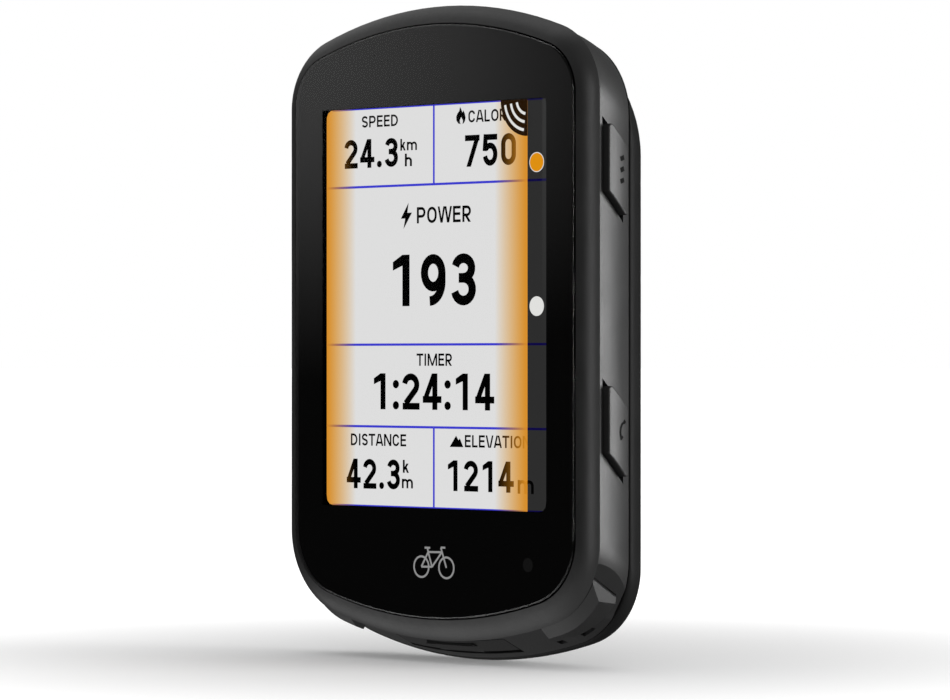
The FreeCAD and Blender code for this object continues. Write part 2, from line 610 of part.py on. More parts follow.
MOUNT_SCREWS = [(math.cos(a), math.sin(a)) for a in (math.radians(45 + 90 * n) for n in range(4))]
for number, (across, up) in enumerate(MOUNT_SCREWS):
    cover_holes.append(rod(f"mount_pilot_{number}", "0.6", f"mount_screw_circle * {across:.6f}", "12.4",
                           f"mount_screw_circle * {up:.6f}", (0, 1, 0), "3"))
cover_holes.append(rod("vent_hole", "0.5", "0", "11.5", "0 - 29", (0, 1, 0), "4"))
vent_seat = rod("vent_seat", "2.6", "0", "well_depth - 0.1", "0 - 29", (0, 1, 0), "0.4")
hollow_cover = cut("cover_cut", cover, [well, vent_seat])
inner_pillars = common("cover_pillars", [cover, fuse("pillars", pillars)])
keep("rear_cover", cut("rear_cover_cut", fuse("cover_fuse", [hollow_cover, inner_pillars]), cover_holes))
keep("vent_membrane", rod("vent_membrane", "2.5", "0", "well_depth", "0 - 29", (0, 1, 0), "0.25"))

seal = cut("housing_seal_cut", slab("seal_outer", "seam_depth - 0.55", "seam_depth", "seam", "0 - 0.9"),
           [slab("seal_inner", "seam_depth - 1", "seam_depth + 0.5", "seam", "0 - 1.7")])
keep("housing_seal", seal)


def screw(name, x, z, head_depth, head_radius, head_height, shank_radius, shank_length):
    """A small pan head screw whose head is at the back, with a six-lobe socket."""
    head = rod(name + "_head", head_radius, x, head_depth, z, (0, 1, 0), head_height)
    shank = rod(name + "_shank", shank_radius, x, f"({head_depth}) - ({shank_length})", z, (0, 1, 0),
                f"({shank_length}) + 0.1")
    socket = doc.addObject("Part::Prism", name + "_socket")
    socket.Polygon = 6
    socket.Placement.Rotation = FreeCAD.Rotation(FreeCAD.Vector(0, 0, 1), FreeCAD.Vector(0, 1, 0))
    tie(socket, Circumradius=f"({head_radius}) * 0.45", Height="1")
    put(socket, x, f"({head_depth}) + ({head_height}) - 0.55", z)
    return cut(name, fuse(name + "_blank", [head, shank]), [socket])


keep("cover_screws", fuse("cover_screws_fuse", [
    screw(f"cover_screw_{n}", f"{side} * cover_screw_x", z, "11", "1.5", "1", "0.62", "5.2")
    for n, (side, z) in enumerate(screw_places)
]))

# ---------------------------------------------------------------- quarter-turn mount

mount_flange = rod("mount_disc", "mount_flange", "0", "mount_flange_front", "0", (0, 1, 0),
                   "mount_flange_back - mount_flange_front")
mount_neck = rod("mount_neck", "mount_neck", "0", "mount_flange_front", "0", (0, 1, 0),
                 "overall_depth - mount_flange_front")
mount_cone = doc.addObject("Part::Cone", "mount_root")
mount_cone.Placement.Rotation = FreeCAD.Rotation(FreeCAD.Vector(0, 0, 1), FreeCAD.Vector(0, 1, 0))
tie(mount_cone, Radius1="mount_neck + 1.1", Radius2="mount_neck", Height="1.1")
put(mount_cone, "0", "mount_flange_back", "0")
tabs = []
for number, turn in enumerate((0, 180)):
    ring = rod(f"tab_{number}", "mount_tab", "0", "mount_tab_front", "0", (0, 1, 0),
               "overall_depth - mount_tab_front")
    ring.Placement.Rotation = FreeCAD.Rotation(FreeCAD.Vector(0, 1, 0), turn - size("mount_tab_angle") / 2) \
        .multiply(FreeCAD.Rotation(FreeCAD.Vector(1, 0, 0), -90))
    tie(ring, Angle="mount_tab_angle")
    tabs.append(ring)
mount_cuts = []
for number, (across, up) in enumerate(MOUNT_SCREWS):
    x, z = f"mount_screw_circle * {across:.6f}", f"mount_screw_circle * {up:.6f}"
    mount_cuts.append(rod(f"mount_clear_{number}", "0.85", x, "13", z, (0, 1, 0), "8"))
    mount_cuts.append(rod(f"mount_sink_{number}", "1.6", x, "18.2", z, (0, 1, 0), "3"))
for side in (-1, 1):
    notch_x = ("mount_tab - 0.5", "mount_tab + 1")
    if side < 0:
        notch_x = ("0 - mount_tab - 1", "0 - mount_tab + 0.5")
    mount_cuts.append(block(f"tab_notch_{'left' if side < 0 else 'right'}", notch_x,
                            ("mount_tab_front - 1", "overall_depth + 1"), ("0 - 1.1", "1.1")))
mount_blank = fuse("mount_blank", [mount_flange, mount_neck, mount_cone] + tabs)
keep("quarter_turn_mount", cut("quarter_turn_mount_cut", mount_blank, mount_cuts))
keep("mount_screws", fuse("mount_screws_fuse", [
    screw(f"mount_screw_{n}", f"mount_screw_circle * {across:.6f}", f"mount_screw_circle * {up:.6f}",
          "18.2", "1.4", "0.9", "0.6", "5.2")
    for n, (across, up) in enumerate(MOUNT_SCREWS)
]))

# ---------------------------------------------------------------- keys

def stem_parts(label, side, top):
    """The stem of a side key, with the groove that its clip snaps into."""
    height = stem_height(top)
    inward = (-side, 0, 0)
    root = "key_floor + key_travel + key_play + 0.2"
    stem = rod(label + "_stem", "stem_radius", f"{side} * ({root})", stem_depth, height, inward,
               f"{root} - stem_end")
    groove_outer = rod(label + "_groove_outer", "1", f"{side} * clip_face", stem_depth, height, inward,
                       "clip_thickness")
    groove_core = rod(label + "_groove_inner", "groove_radius", f"{side} * 25", stem_depth, height, inward, "1")
    return cut(label + "_grooved_stem", stem, [cut(label + "_groove", groove_outer, [groove_core])])


def clip(name, disc, hole, opening):
    """A snap clip: a thin ring with a mouth on one side."""
    return cut(name, disc, [hole, opening])


# The outer faces of the side keys are rounded like the housing, with their crest at the full width.
key_barrel = body("key_barrel")
crest_grow = "overall_width / 2 - band_side"
barrel_sections = [
    outline(key_barrel, "key_barrel_front", "key_front - 0.3", "band", grow=f"{crest_grow} - key_fall_front"),
    outline(key_barrel, "key_barrel_crest", "key_crest", "band", grow=crest_grow),
    outline(key_barrel, "key_barrel_rear", "key_rear + 0.3", "band", grow=f"{crest_grow} - key_fall_rear"),
]
loft(key_barrel, "key_barrel_loft", barrel_sections, ruled=False)
key_skin = size("overall_width / 2") - 0.5

for label, side, top in SIDE_KEYS:
    prism = key_prism(label + "_cap", side, top, "0", "key_floor + key_travel + key_play", "30")
    rounded(label + "_corners", prism, "0.45", lambda edge: edge.BoundBox.XLength > 1)
    cap_body = soft_edges(label + "_edge", common(label + "_face", [prism, key_barrel]), 0.2,
                          lambda edge: min(abs(edge.BoundBox.XMin), abs(edge.BoundBox.XMax)) > key_skin)
    keep(label + "_key", fuse(label + "_key_fuse", [cap_body, stem_parts(label, side, top)]))
    height = stem_height(top)
    inward = (-side, 0, 0)
    disc = rod(label + "_clip_disc", "clip_radius", f"{side} * clip_face", stem_depth, height, inward,
               "clip_thickness")
    hole = rod(label + "_clip_hole", "groove_radius + 0.02", f"{side} * 25", stem_depth, height, inward, "1")
    mouth_x = ("clip_face - clip_thickness - 0.1", "clip_face + 0.1")
    if side < 0:
        mouth_x = ("0 - clip_face - 0.1", "0 - clip_face + clip_thickness + 0.1")
    mouth = block(label + "_clip_mouth", mouth_x, (f"{stem_depth} - 0.5", f"{stem_depth} + 0.5"),
                  (height, f"{height} + 3"))
    keep(label + "_key_clip", clip(label + "_clip", disc, hole, mouth))

# A corner key follows the curve of the housing and rises to a ridge along its middle.
ridge_body = body("ridge_body")
ridge_share = "(corner_ridge_depth - band_depth) / (seam_depth - band_depth)"
rear_share = "(corner_rear + 0.2 - band_depth) / (seam_depth - band_depth)"
ridge_sections = [
    outline(ridge_body, "ridge_front", "band_depth", "band", grow="0.15"),
    outline(ridge_body, "ridge_crest", "corner_ridge_depth", "band", "seam", ridge_share, "corner_ridge"),
    outline(ridge_body, "ridge_rear", "corner_rear + 0.2", "band", "seam", rear_share, "0.32"),
]
loft(ridge_body, "ridge_loft", ridge_sections, ruled=True)
corner_inner = "corner_floor + key_travel + key_play"
corner_span = corner_prism("start_prism", "0", corner_inner, "corner_outer")
corner_blank = common("start_blank", [ridge_body, corner_span])
# The upper end slopes down from the ridge: a plane through the end's front, its rear and the ridge.
end_front, end_rear, end_ridge = (
    FreeCAD.Vector(-size(along), size(f"{depth} - overall_depth"), size(outward))
    for along, depth, outward in (("corner_high", "corner_front", "corner_end_front"),
                                  ("corner_high_rear", "corner_rear", "corner_end_rear"),
                                  ("corner_high_rear", "corner_ridge_depth", "corner_end_ridge"))
)
facing = (end_ridge - end_front).cross(end_rear - end_front)
end_turn = FreeCAD.Rotation(FreeCAD.Vector(0, 0, 1), facing)
corner_turn = FreeCAD.Rotation(FreeCAD.Vector(0, 1, 0), size("corner_angle"))
end_cut = doc.addObject("Part::Box", "start_end_cut")
end_cut.Length = end_cut.Width = 16.0
end_cut.Height = 6.0
end_corner = end_ridge + end_turn.multVec(FreeCAD.Vector(-8, -8, 0))
end_cut.Placement = FreeCAD.Placement(corner_turn.multVec(end_corner), corner_turn.multiply(end_turn))
corner_cap = cut("start_cap", corner_blank, [end_cut])
corner_reach = "corner_wall - 1.4"
corner_stem = corner_rod("start_stem", "stem_radius", corner_reach, f"{corner_inner} + 0.3")
corner_clip_face = "corner_wall - 0.05"
corner_clip_back = f"{corner_clip_face} - clip_thickness"
corner_groove = cut("start_groove", corner_rod("start_groove_outer", "1", corner_clip_back, corner_clip_face),
                    [corner_rod("start_groove_inner", "groove_radius", "corner_wall - 1", "corner_wall")])
corner_grooved = cut("start_grooved_stem", corner_stem, [corner_groove])
keep("start_key", fuse("start_key_fuse", [corner_cap, corner_grooved]))
clip_mouth = doc.addObject("Part::Box", "start_clip_mouth")
clip_mouth.Length = 1.0
clip_mouth.Width = 3.0
clip_mouth.Height = 1.0
clip_turn = FreeCAD.Rotation(FreeCAD.Vector(0, 1, 0), size("corner_angle"))
clip_local = FreeCAD.Vector(-size("corner_stem") - 0.5, size("corner_stem_depth - overall_depth"),
                            size("corner_wall") - 0.8)
clip_mouth.Placement = FreeCAD.Placement(clip_turn.multVec(clip_local), clip_turn)
clip_disc = corner_rod("start_clip_disc", "clip_radius", corner_clip_back, corner_clip_face)
clip_hole = corner_rod("start_clip_hole", "groove_radius + 0.02", "corner_wall - 1", "corner_wall")
keep("start_key_clip", clip("start_clip", clip_disc, clip_hole, clip_mouth))
keep("lap_key", mirrored("lap_key_shape", parts["start_key"]))
keep("lap_key_clip", mirrored("lap_clip_shape", parts["start_key_clip"]))


def ring(name, placement):
    """A rubber ring around a stem."""
    torus = doc.addObject("Part::Torus", name)
    tie(torus, Radius1="stem_radius + 0.05 + seal_radius", Radius2="seal_radius")
    torus.Placement = placement
    return torus


rings = []
for label, side, top in SIDE_KEYS:
    place = FreeCAD.Vector(side * 25.2, size(f"{stem_depth} - overall_depth"), size(stem_height(top)))
    sideways = FreeCAD.Rotation(FreeCAD.Vector(0, 1, 0), 90)
    rings.append(ring(label + "_ring", FreeCAD.Placement(place, sideways)))
corner_place = clip_turn.multVec(FreeCAD.Vector(-size("corner_stem"), size("corner_stem_depth - overall_depth"),
                                                size("corner_wall") + 0.33))
start_ring = ring("start_ring", FreeCAD.Placement(corner_place, clip_turn))
rings += [start_ring, mirrored("lap_ring", start_ring)]
keep("key_seals", fuse("key_seals_fuse", rings))

# ---------------------------------------------------------------- weather cap

cap_plate = cap_block("cap_plate", (-cap_half, cap_half), (-cap_length, 0), (-4, cap_inner))
cap_limit = body("cap_limit")
limit_sections = [outline(cap_limit, f"limit_{end}", depth, name) for end, depth, name in BARREL]
loft(cap_limit, "limit_loft", limit_sections, ruled=False)
bead_bar = cap_rod("cap_bead", bead, size("cap_hinge_half"))
cap_skin_part = common("cap_skin", [cap_limit, cap_plate])
plug_box = block("plug_box", ("0 - port_half + 0.25", "port_half - 0.25"),
                 ("port_middle - 1.2", "port_middle + 1.1"),
                 (f"{cap_axis.z + 0.3:.4f}", f"{cap_axis.z + 2.6:.4f}"))
plug = common("cap_plug", [plug_box, cap_rod("plug_sweep", size("plug_reach"), 8)])
keep("weather_cap", fuse("weather_cap_fuse", [cap_skin_part, bead_bar, plug]))

# ---------------------------------------------------------------- port

shell_x = ("0 - port_half", "port_half")
shell_y = ("port_middle - port_thickness / 2", "port_middle + port_thickness / 2")
receptacle_shell = block("port_shell", shell_x, shell_y, ("port_mouth", "port_mouth + port_length"))
receptacle_hollow = block("port_hollow", ("0 - port_half + 0.3", "port_half - 0.3"),
                          ("port_middle - port_thickness / 2 + 0.3", "port_middle + port_thickness / 2 - 0.3"),
                          ("port_mouth - 1", "port_mouth + 5.6"))
tongue = block("port_tongue", ("0 - 3.3", "3.3"), ("port_middle - 0.35", "port_middle + 0.35"),
               ("port_mouth + 0.9", "port_mouth + 5.7"))
open_receptacle = cut("port_shell_cut", receptacle_shell, [receptacle_hollow])
keep("usb_receptacle", fuse("usb_receptacle_fuse", [open_receptacle, tongue]))
gasket = block("gasket_block", ("0 - port_half - 0.6", "port_half + 0.6"),
               ("port_middle - 2.05", "port_middle + 2.05"), ("port_mouth", "port_mouth + 1.3"))
gasket_hole = block("gasket_hole", shell_x, shell_y, ("port_mouth - 1", "port_mouth + 2"))
keep("usb_gasket", cut("usb_gasket_cut", gasket, [gasket_hole]))

# ---------------------------------------------------------------- electronics

board = inside("board_plate", "board_depth", "board_back", "cavity", grow="0 - 0.5", wall="corner_wall - 0.5")
board_cuts = []
for number, (side, z) in enumerate(screw_places):
    board_cuts.append(rod(f"board_notch_{number}", "boss_radius + 0.25", f"{side} * cover_screw_x", "6", z,
                          (0, 1, 0), "2"))
    web = ("cover_screw_x", "26") if side > 0 else ("0 - 26", "0 - cover_screw_x")
    board_cuts.append(block(f"board_slot_{number}", web, ("6", "8"), (f"{z} - 1.85", f"{z} + 1.85")))
board_screw_places = []
for side in (-1, 1):
    for x, z in (("board_screw_high_x", "board_screw_high"), ("board_screw_low_x", "board_screw_low")):
        board_screw_places.append((f"{side} * {x}", z))
for number, (x, z) in enumerate(board_screw_places):
    board_cuts.append(rod(f"board_hole_{number}", "0.7", x, "6", z, (0, 1, 0), "2"))
keep("main_board", cut("main_board_cut", board, board_cuts))
keep("board_screws", fuse("board_screws_fuse", [
    screw(f"board_screw_{n}", x, z, "board_back", "1.2", "0.7", "0.5", "3")
    for n, (x, z) in enumerate(board_screw_places)
]))


def can(name, x, z):
    """A folded metal cover over a group of parts, open towards the board."""
    outer = block(name + "_outer", x, ("board_back", "8.55"), z)
    inner_x = (f"{x[0]} + 0.2", f"{x[1]} - 0.2")
    inner_z = (f"{z[0]} + 0.2", f"{z[1]} - 0.2")
    return cut(name, outer, [block(name + "_inner", inner_x, ("7", "8.35"), inner_z)])


keep("processor_shield", can("processor_can", ("0 - 14", "8"), ("2", "22")))
keep("radio_shield", can("radio_can", ("0 - 14", "4"), ("0 - 16", "0 - 2")))
CHIPS = [(-8, 12, 9, 9, 0.9), (3, 13, 6, 8, 0.8), (-5, -9, 6, 6, 0.8), (14, 16, 4, 4, 0.8),
         (13, 4, 5, 3, 0.7), (12, -8, 3, 3, 0.9), (16, -14, 2.5, 4, 0.9)]
keep("board_chips", fuse("board_chips_fuse", [
    block(f"chip_{n}", (f"{x - wide / 2}", f"{x + wide / 2}"), ("board_back", f"board_back + {rise}"),
          (f"{z - tall / 2}", f"{z + tall / 2}"))
    for n, (x, z, wide, tall, rise) in enumerate(CHIPS)
]))
keep("gnss_antenna", block("gnss_antenna", ("0 - 12", "12"), ("2.7", "board_depth"), ("32.4", "35.5")))
keep("radio_antenna", block("radio_antenna", ("0 - 24.6", "0 - 24.4"), ("ledge_back + 0.3", "board_depth"),
                            ("5.2", "16.5")))
keep("battery", block("battery", ("0 - 18.8", "18.8"), ("8.8", "11.9"), ("0 - 25", "30")))
keep("battery_tape", block("battery_tape", ("0 - 15", "15"), ("11.9", "well_depth"), ("0 - 20", "25")))
keep("battery_lead", fuse("battery_lead_fuse", [
    block("lead_tab", ("4", "10"), ("8.9", "9.2"), ("0 - 29", "0 - 25")),
    block("lead_drop", ("4", "10"), ("board_back + 0.9", "9.2"), ("0 - 29.3", "0 - 29")),
    block("lead_plug", ("3.5", "10.5"), ("board_back", "board_back + 0.9"), ("0 - 31", "0 - 28")),
]))
keep("buzzer", rod("buzzer", "5", "0 - 12.5", "board_back", "0 - 24.5", (0, 1, 0), "1.2"))
keep("pressure_sensor", block("pressure_sensor", ("0 - 1.5", "1.5"), ("board_back", "8.5"),
                              ("0 - 30.5", "0 - 27.5")))


def side_switch(name, side, top):
    """A side-acting push switch on the board, with its plunger facing the key's stem."""
    z = stem_height(top)
    reach = "stem_end - key_travel - key_play"
    if side > 0:
        case_x, plunger_x = (f"{reach} - 3.4", f"{reach} - 0.6"), (f"{reach} - 0.7", reach)
    else:
        case_x = (f"0 - ({reach}) + 0.6", f"0 - ({reach}) + 3.4")
        plunger_x = (f"0 - ({reach})", f"0 - ({reach}) + 0.7")
    case = block(name + "_case", case_x, ("4.25", "board_depth"), (f"{z} - 2.2", f"{z} + 2.2"))
    plunger = block(name + "_plunger", plunger_x, (f"{stem_depth} - 0.5", f"{stem_depth} + 0.5"),
                    (f"{z} - 1", f"{z} + 1"))
    return fuse(name, [case, plunger])


switches = [side_switch(label + "_switch", side, top) for label, side, top in SIDE_KEYS]
corner_plunger = corner_rod("start_plunger", "0.7", "corner_wall - 1.4 - key_travel - key_play - 0.7",
                            "corner_wall - 1.4 - key_travel - key_play")
corner_case = doc.addObject("Part::Box", "start_switch_case")
corner_case.Length = 4.4
corner_case.Width = size("board_depth - backlight_depth")
corner_case.Height = 2.6
case_local = FreeCAD.Vector(-size("corner_stem") - 2.2, size("backlight_depth - overall_depth"),
                            size("corner_wall - 1.4 - key_travel - key_play - 0.6") - 2.6)
corner_case.Placement = FreeCAD.Placement(clip_turn.multVec(case_local), clip_turn)
start_switch = fuse("start_switch", [corner_case, corner_plunger])
switches += [start_switch, mirrored("lap_switch", start_switch)]
keep("tact_switches", fuse("tact_switches_fuse", switches))

# ---------------------------------------------------------------- check and write

doc.recompute()
faults = [f"{thing.Label}: {', '.join(thing.State)}" for thing in doc.Objects
          if "Invalid" in thing.State or "Error" in thing.State]
for label, thing in parts.items():
    if thing.Shape.isNull() or not thing.Shape.isValid() or not thing.Shape.Solids:
        faults.append(f"{label}: no valid solid")
if faults:
    raise RuntimeError("; ".join(faults))

os.makedirs("parts", exist_ok=True)
for old in os.listdir("parts"):
    if old.endswith(".step"):
        os.remove(os.path.join("parts", old))
for label, thing in parts.items():
    thing.Shape.exportStep(os.path.join("parts", label + ".step"))
    box = thing.Shape.BoundBox
    print(f"{label:22s} {len(thing.Shape.Solids)} solid(s) {thing.Shape.Volume:9.1f} mm3",
          f" x {box.XMin:7.2f} {box.XMax:7.2f}  y {box.YMin:7.2f} {box.YMax:7.2f}",
          f" z {box.ZMin:7.2f} {box.ZMax:7.2f}")
print(len(parts), "sub-parts")
print("cap axis", cap_axis, "underside tilt", round(tilt, 3))
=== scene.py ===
import math
import bmesh
import bpy
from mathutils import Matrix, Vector
from mathutils.bvhtree import BVHTree


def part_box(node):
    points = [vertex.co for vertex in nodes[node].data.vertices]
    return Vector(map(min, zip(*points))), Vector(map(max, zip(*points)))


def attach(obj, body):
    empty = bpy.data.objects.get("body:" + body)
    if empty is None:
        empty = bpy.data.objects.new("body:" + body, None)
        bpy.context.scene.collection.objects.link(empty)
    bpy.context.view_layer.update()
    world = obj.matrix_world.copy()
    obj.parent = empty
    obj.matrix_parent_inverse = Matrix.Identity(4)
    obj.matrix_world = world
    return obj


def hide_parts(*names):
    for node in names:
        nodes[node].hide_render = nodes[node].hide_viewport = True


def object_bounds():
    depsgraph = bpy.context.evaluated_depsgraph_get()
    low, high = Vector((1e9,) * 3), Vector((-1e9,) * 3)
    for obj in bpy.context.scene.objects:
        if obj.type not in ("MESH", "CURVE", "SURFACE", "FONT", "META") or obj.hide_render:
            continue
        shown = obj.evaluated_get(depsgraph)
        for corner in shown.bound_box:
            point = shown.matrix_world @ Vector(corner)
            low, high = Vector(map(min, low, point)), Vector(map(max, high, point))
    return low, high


# A handlebar cycling computer on a pale studio floor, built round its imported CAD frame.
# Places in space are in metres. Flat drawings are laid out in millimetres, and MM turns them into metres.

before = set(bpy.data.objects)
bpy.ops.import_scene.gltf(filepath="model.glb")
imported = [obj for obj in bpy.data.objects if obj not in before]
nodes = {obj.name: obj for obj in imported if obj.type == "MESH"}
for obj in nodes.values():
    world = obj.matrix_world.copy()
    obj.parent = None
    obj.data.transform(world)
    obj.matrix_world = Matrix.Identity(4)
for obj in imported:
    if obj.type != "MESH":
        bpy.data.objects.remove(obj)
cad_low, cad_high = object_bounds()

MM = 0.001
lens_low, lens_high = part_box("front_lens")
film_low, film_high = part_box("solar_film_left")
FRONT_Y = lens_low.y
VIEW_HALF = -film_low.x
VIEW_TOP = film_high.z
VIEW_BOTTOM = film_low.z
VIEW_MIDDLE = Vector((0, FRONT_Y, (VIEW_TOP + VIEW_BOTTOM) / 2))
BAR_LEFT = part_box("solar_film_right")[1].x


# ------------------------------------------------------------------ camera

CAMERA_TURN = math.radians(44.571)     # how far round to the right of the display it stands
CAMERA_DISTANCE = 0.54636              # from the display's middle axis
CAMERA_DROP = 0.00681                  # below the display's middle
CAMERA_SHIFT = (0.0433, 0.0093)
LENS_LENGTH = 159.24                   # in millimetres, on a sensor 36 mm wide
IMAGE_PLANE = 0.0008                   # the display lies this far behind the lens face


def add_camera():
    data = bpy.data.cameras.new("camera")
    data.lens = LENS_LENGTH
    data.sensor_width = 36.0
    data.shift_x, data.shift_y = CAMERA_SHIFT
    data.clip_start = 0.02
    data.clip_end = 40.0
    camera = bpy.data.objects.new("camera", data)
    bpy.context.scene.collection.objects.link(camera)
    back = Vector((math.sin(CAMERA_TURN), -math.cos(CAMERA_TURN), 0))
    aim = VIEW_MIDDLE + Vector((0, IMAGE_PLANE, -CAMERA_DROP))
    camera.location = aim + back * CAMERA_DISTANCE
    camera.rotation_euler = (math.radians(90), 0, CAMERA_TURN)
    bpy.context.scene.camera = camera


# ------------------------------------------------------------------ light and floor

def add_world():
    """A white backdrop, with one set of tones that the plastic's body colour sees and one for its gloss."""
    world = bpy.data.worlds.new("studio")
    bpy.context.scene.world = world
    world.use_nodes = True
    tree = world.node_tree
    tree.nodes.clear()
    add = tree.nodes.new
    link = tree.links.new

    def math_node(kind, first, second):
        node = add("ShaderNodeMath")
        node.operation = kind
        for socket, value in zip(node.inputs, (first, second)):
            if isinstance(value, (int, float)):
                socket.default_value = value
            else:
                link(value, socket)
        return node.outputs[0]

    def ramp(value, start, end, low, high):
        node = add("ShaderNodeMapRange")
        node.interpolation_type = "SMOOTHSTEP"
        for name, number in (("From Min", start), ("From Max", end), ("To Min", low), ("To Max", high)):
            node.inputs[name].default_value = number
        link(value, node.inputs["Value"])
        return node.outputs["Result"]

    direction = add("ShaderNodeTexCoord").outputs["Generated"]
    split = add("ShaderNodeSeparateXYZ")
    link(direction, split.inputs[0])
    height = split.outputs["Z"]

    def along(x, y, z):
        """How far a direction points along a given one, from -1 to 1."""
        node = add("ShaderNodeVectorMath")
        node.operation = "DOT_PRODUCT"
        link(direction, node.inputs[0])
        node.inputs[1].default_value = Vector((x, y, z)).normalized()
        return node.outputs["Value"]

    # Gloss: a panel low behind the left side fades the lens from grey to black, a ceiling lights the top
    # edge, and the pale table in front lights the underside.
    forward = along(-math.cos(CAMERA_TURN), math.sin(CAMERA_TURN), 0)
    leftward = along(-1, 0, 0)
    frontward = along(0, -1, 0)
    rise = math_node("POWER", ramp(height, -0.030, 0.072, 0.0, 1.0), 1.6)
    window = math_node("MULTIPLY", ramp(forward, -0.06, 0.035, 0.12, 1.0),
                       ramp(forward, 0.15, 0.6, 1.0, 0.12))
    panel = math_node("MAXIMUM", math_node("MULTIPLY", rise, window), 0.045)
    ceiling = math_node("MULTIPLY", ramp(height, 0.1, 0.6, 0.0, 1.0), ramp(leftward, 0.2, 0.8, 0.0, 0.95))
    table = math_node("MULTIPLY", ramp(height, -0.22, -0.62, 0.0, 1.8), ramp(leftward, -0.3, 0.7, 0.4, 1.0))
    table = math_node("MULTIPLY", table, ramp(frontward, -0.4, 0.3, 0.05, 1.0))
    seen = math_node("ADD", math_node("MAXIMUM", panel, ceiling), table)
    gloss = add("ShaderNodeBackground")
    link(seen, gloss.inputs["Strength"])
    soft = add("ShaderNodeBackground")
    link(ramp(along(0.5, 0.6, 0.45), -0.4, 0.8, 0.1, 0.9), soft.inputs["Strength"])
    backdrop = add("ShaderNodeBackground")
    backdrop.inputs["Color"].default_value = (1, 1, 1, 1)
    backdrop.inputs["Strength"].default_value = 1.0

    path = add("ShaderNodeLightPath")
    first = add("ShaderNodeMixShader")
    link(path.outputs["Is Glossy Ray"], first.inputs["Fac"])
    link(soft.outputs[0], first.inputs[1])
    link(gloss.outputs[0], first.inputs[2])
    second = add("ShaderNodeMixShader")
    link(path.outputs["Is Camera Ray"], second.inputs["Fac"])
    link(first.outputs[0], second.inputs[1])
    link(backdrop.outputs[0], second.inputs[2])
    link(second.outputs[0], add("ShaderNodeOutputWorld").inputs["Surface"])


def add_softbox(name, turn, lift, distance, size, radiance):
    """A rectangular soft light that faces the object, at a turn from +X and a lift from the level."""
    turn, lift = math.radians(turn), math.radians(lift)
    data = bpy.data.lights.new(name, "AREA")
    data.shape = "RECTANGLE"
    data.size, data.size_y = size
    data.energy = radiance * math.pi * size[0] * size[1]
    light = bpy.data.objects.new(name, data)
    bpy.context.scene.collection.objects.link(light)
    away = Vector((math.cos(turn) * math.cos(lift), math.sin(turn) * math.cos(lift), math.sin(lift)))
    light.location = away * distance
    light.rotation_euler = away.to_track_quat("Z", "Y").to_euler()
    light.visible_camera = False


# Each softbox: name, turn from +X and lift in degrees, distance, width and height in metres, radiance.
SOFTBOXES = (
    ("right_softbox", 27, 0, 0.45, (0.22, 0.27), 11.0),
    ("front_softbox", -45, 0, 0.6, (0.16, 0.5), 3.4),
    ("top_softbox", 215, 70, 0.7, (0.5, 0.5), 0.5),
)
FLOOR_HALF = 12.0
FLOOR_GAP = 0.05 * MM        # keeps the floor just under the case
# Painted light: the floor glows by its own emission, dimmer close to the object as a painted shadow round it.
PAINTED_SHADOW_REACH = (0.03, 0.16)  # how far from the object the floor's own glow starts and ends its rise
FLOOR_GLOW = (0.16, 0.86)    # its glow near the object, and far off where it melts into the backdrop


def add_floor():
    mesh = bpy.data.meshes.new("studio_floor")
    corners = [(-1, -1), (1, -1), (1, 1), (-1, 1)]
    points = [(x * FLOOR_HALF, y * FLOOR_HALF, cad_low.z - FLOOR_GAP) for x, y in corners]
    mesh.from_pydata(points, [], [(0, 1, 2, 3)])
    floor = bpy.data.objects.new("studio_floor", mesh)
    bpy.context.scene.collection.objects.link(floor)
    material = bpy.data.materials.new("pale_floor")
    material.use_nodes = True
    tree = material.node_tree
    shader = tree.nodes["Principled BSDF"]
    shader.inputs["Base Color"].default_value = (0.8, 0.8, 0.8, 1)
    shader.inputs["Roughness"].default_value = 0.9
    shader.inputs["Specular IOR Level"].default_value = 0.0
    shader.inputs["Emission Color"].default_value = (1, 1, 1, 1)
    # Painted light: the floor's emission rises with distance from the object, which leaves a painted shadow
    # near it.
    reach = tree.nodes.new("ShaderNodeVectorMath")
    reach.operation = "LENGTH"
    tree.links.new(tree.nodes.new("ShaderNodeTexCoord").outputs["Object"], reach.inputs[0])
    glow = tree.nodes.new("ShaderNodeMapRange")
    glow.interpolation_type = "SMOOTHSTEP"
    for name, number in zip(("From Min", "From Max", "To Min", "To Max"), PAINTED_SHADOW_REACH + FLOOR_GLOW):
        glow.inputs[name].default_value = number
    tree.links.new(reach.outputs["Value"], glow.inputs["Value"])
    tree.links.new(glow.outputs["Result"], shader.inputs["Emission Strength"])
    clear = tree.nodes.new("ShaderNodeBsdfTransparent")
    side = tree.nodes.new("ShaderNodeNewGeometry")
    mix = tree.nodes.new("ShaderNodeMixShader")
    tree.links.new(side.outputs["Backfacing"], mix.inputs["Fac"])
    tree.links.new(shader.outputs[0], mix.inputs[1])
    tree.links.new(clear.outputs[0], mix.inputs[2])
    tree.links.new(mix.outputs[0], tree.nodes["Material Output"].inputs["Surface"])
    mesh.materials.append(material)
    floor.visible_glossy = False
    floor.visible_diffuse = False


# ------------------------------------------------------------------ materials

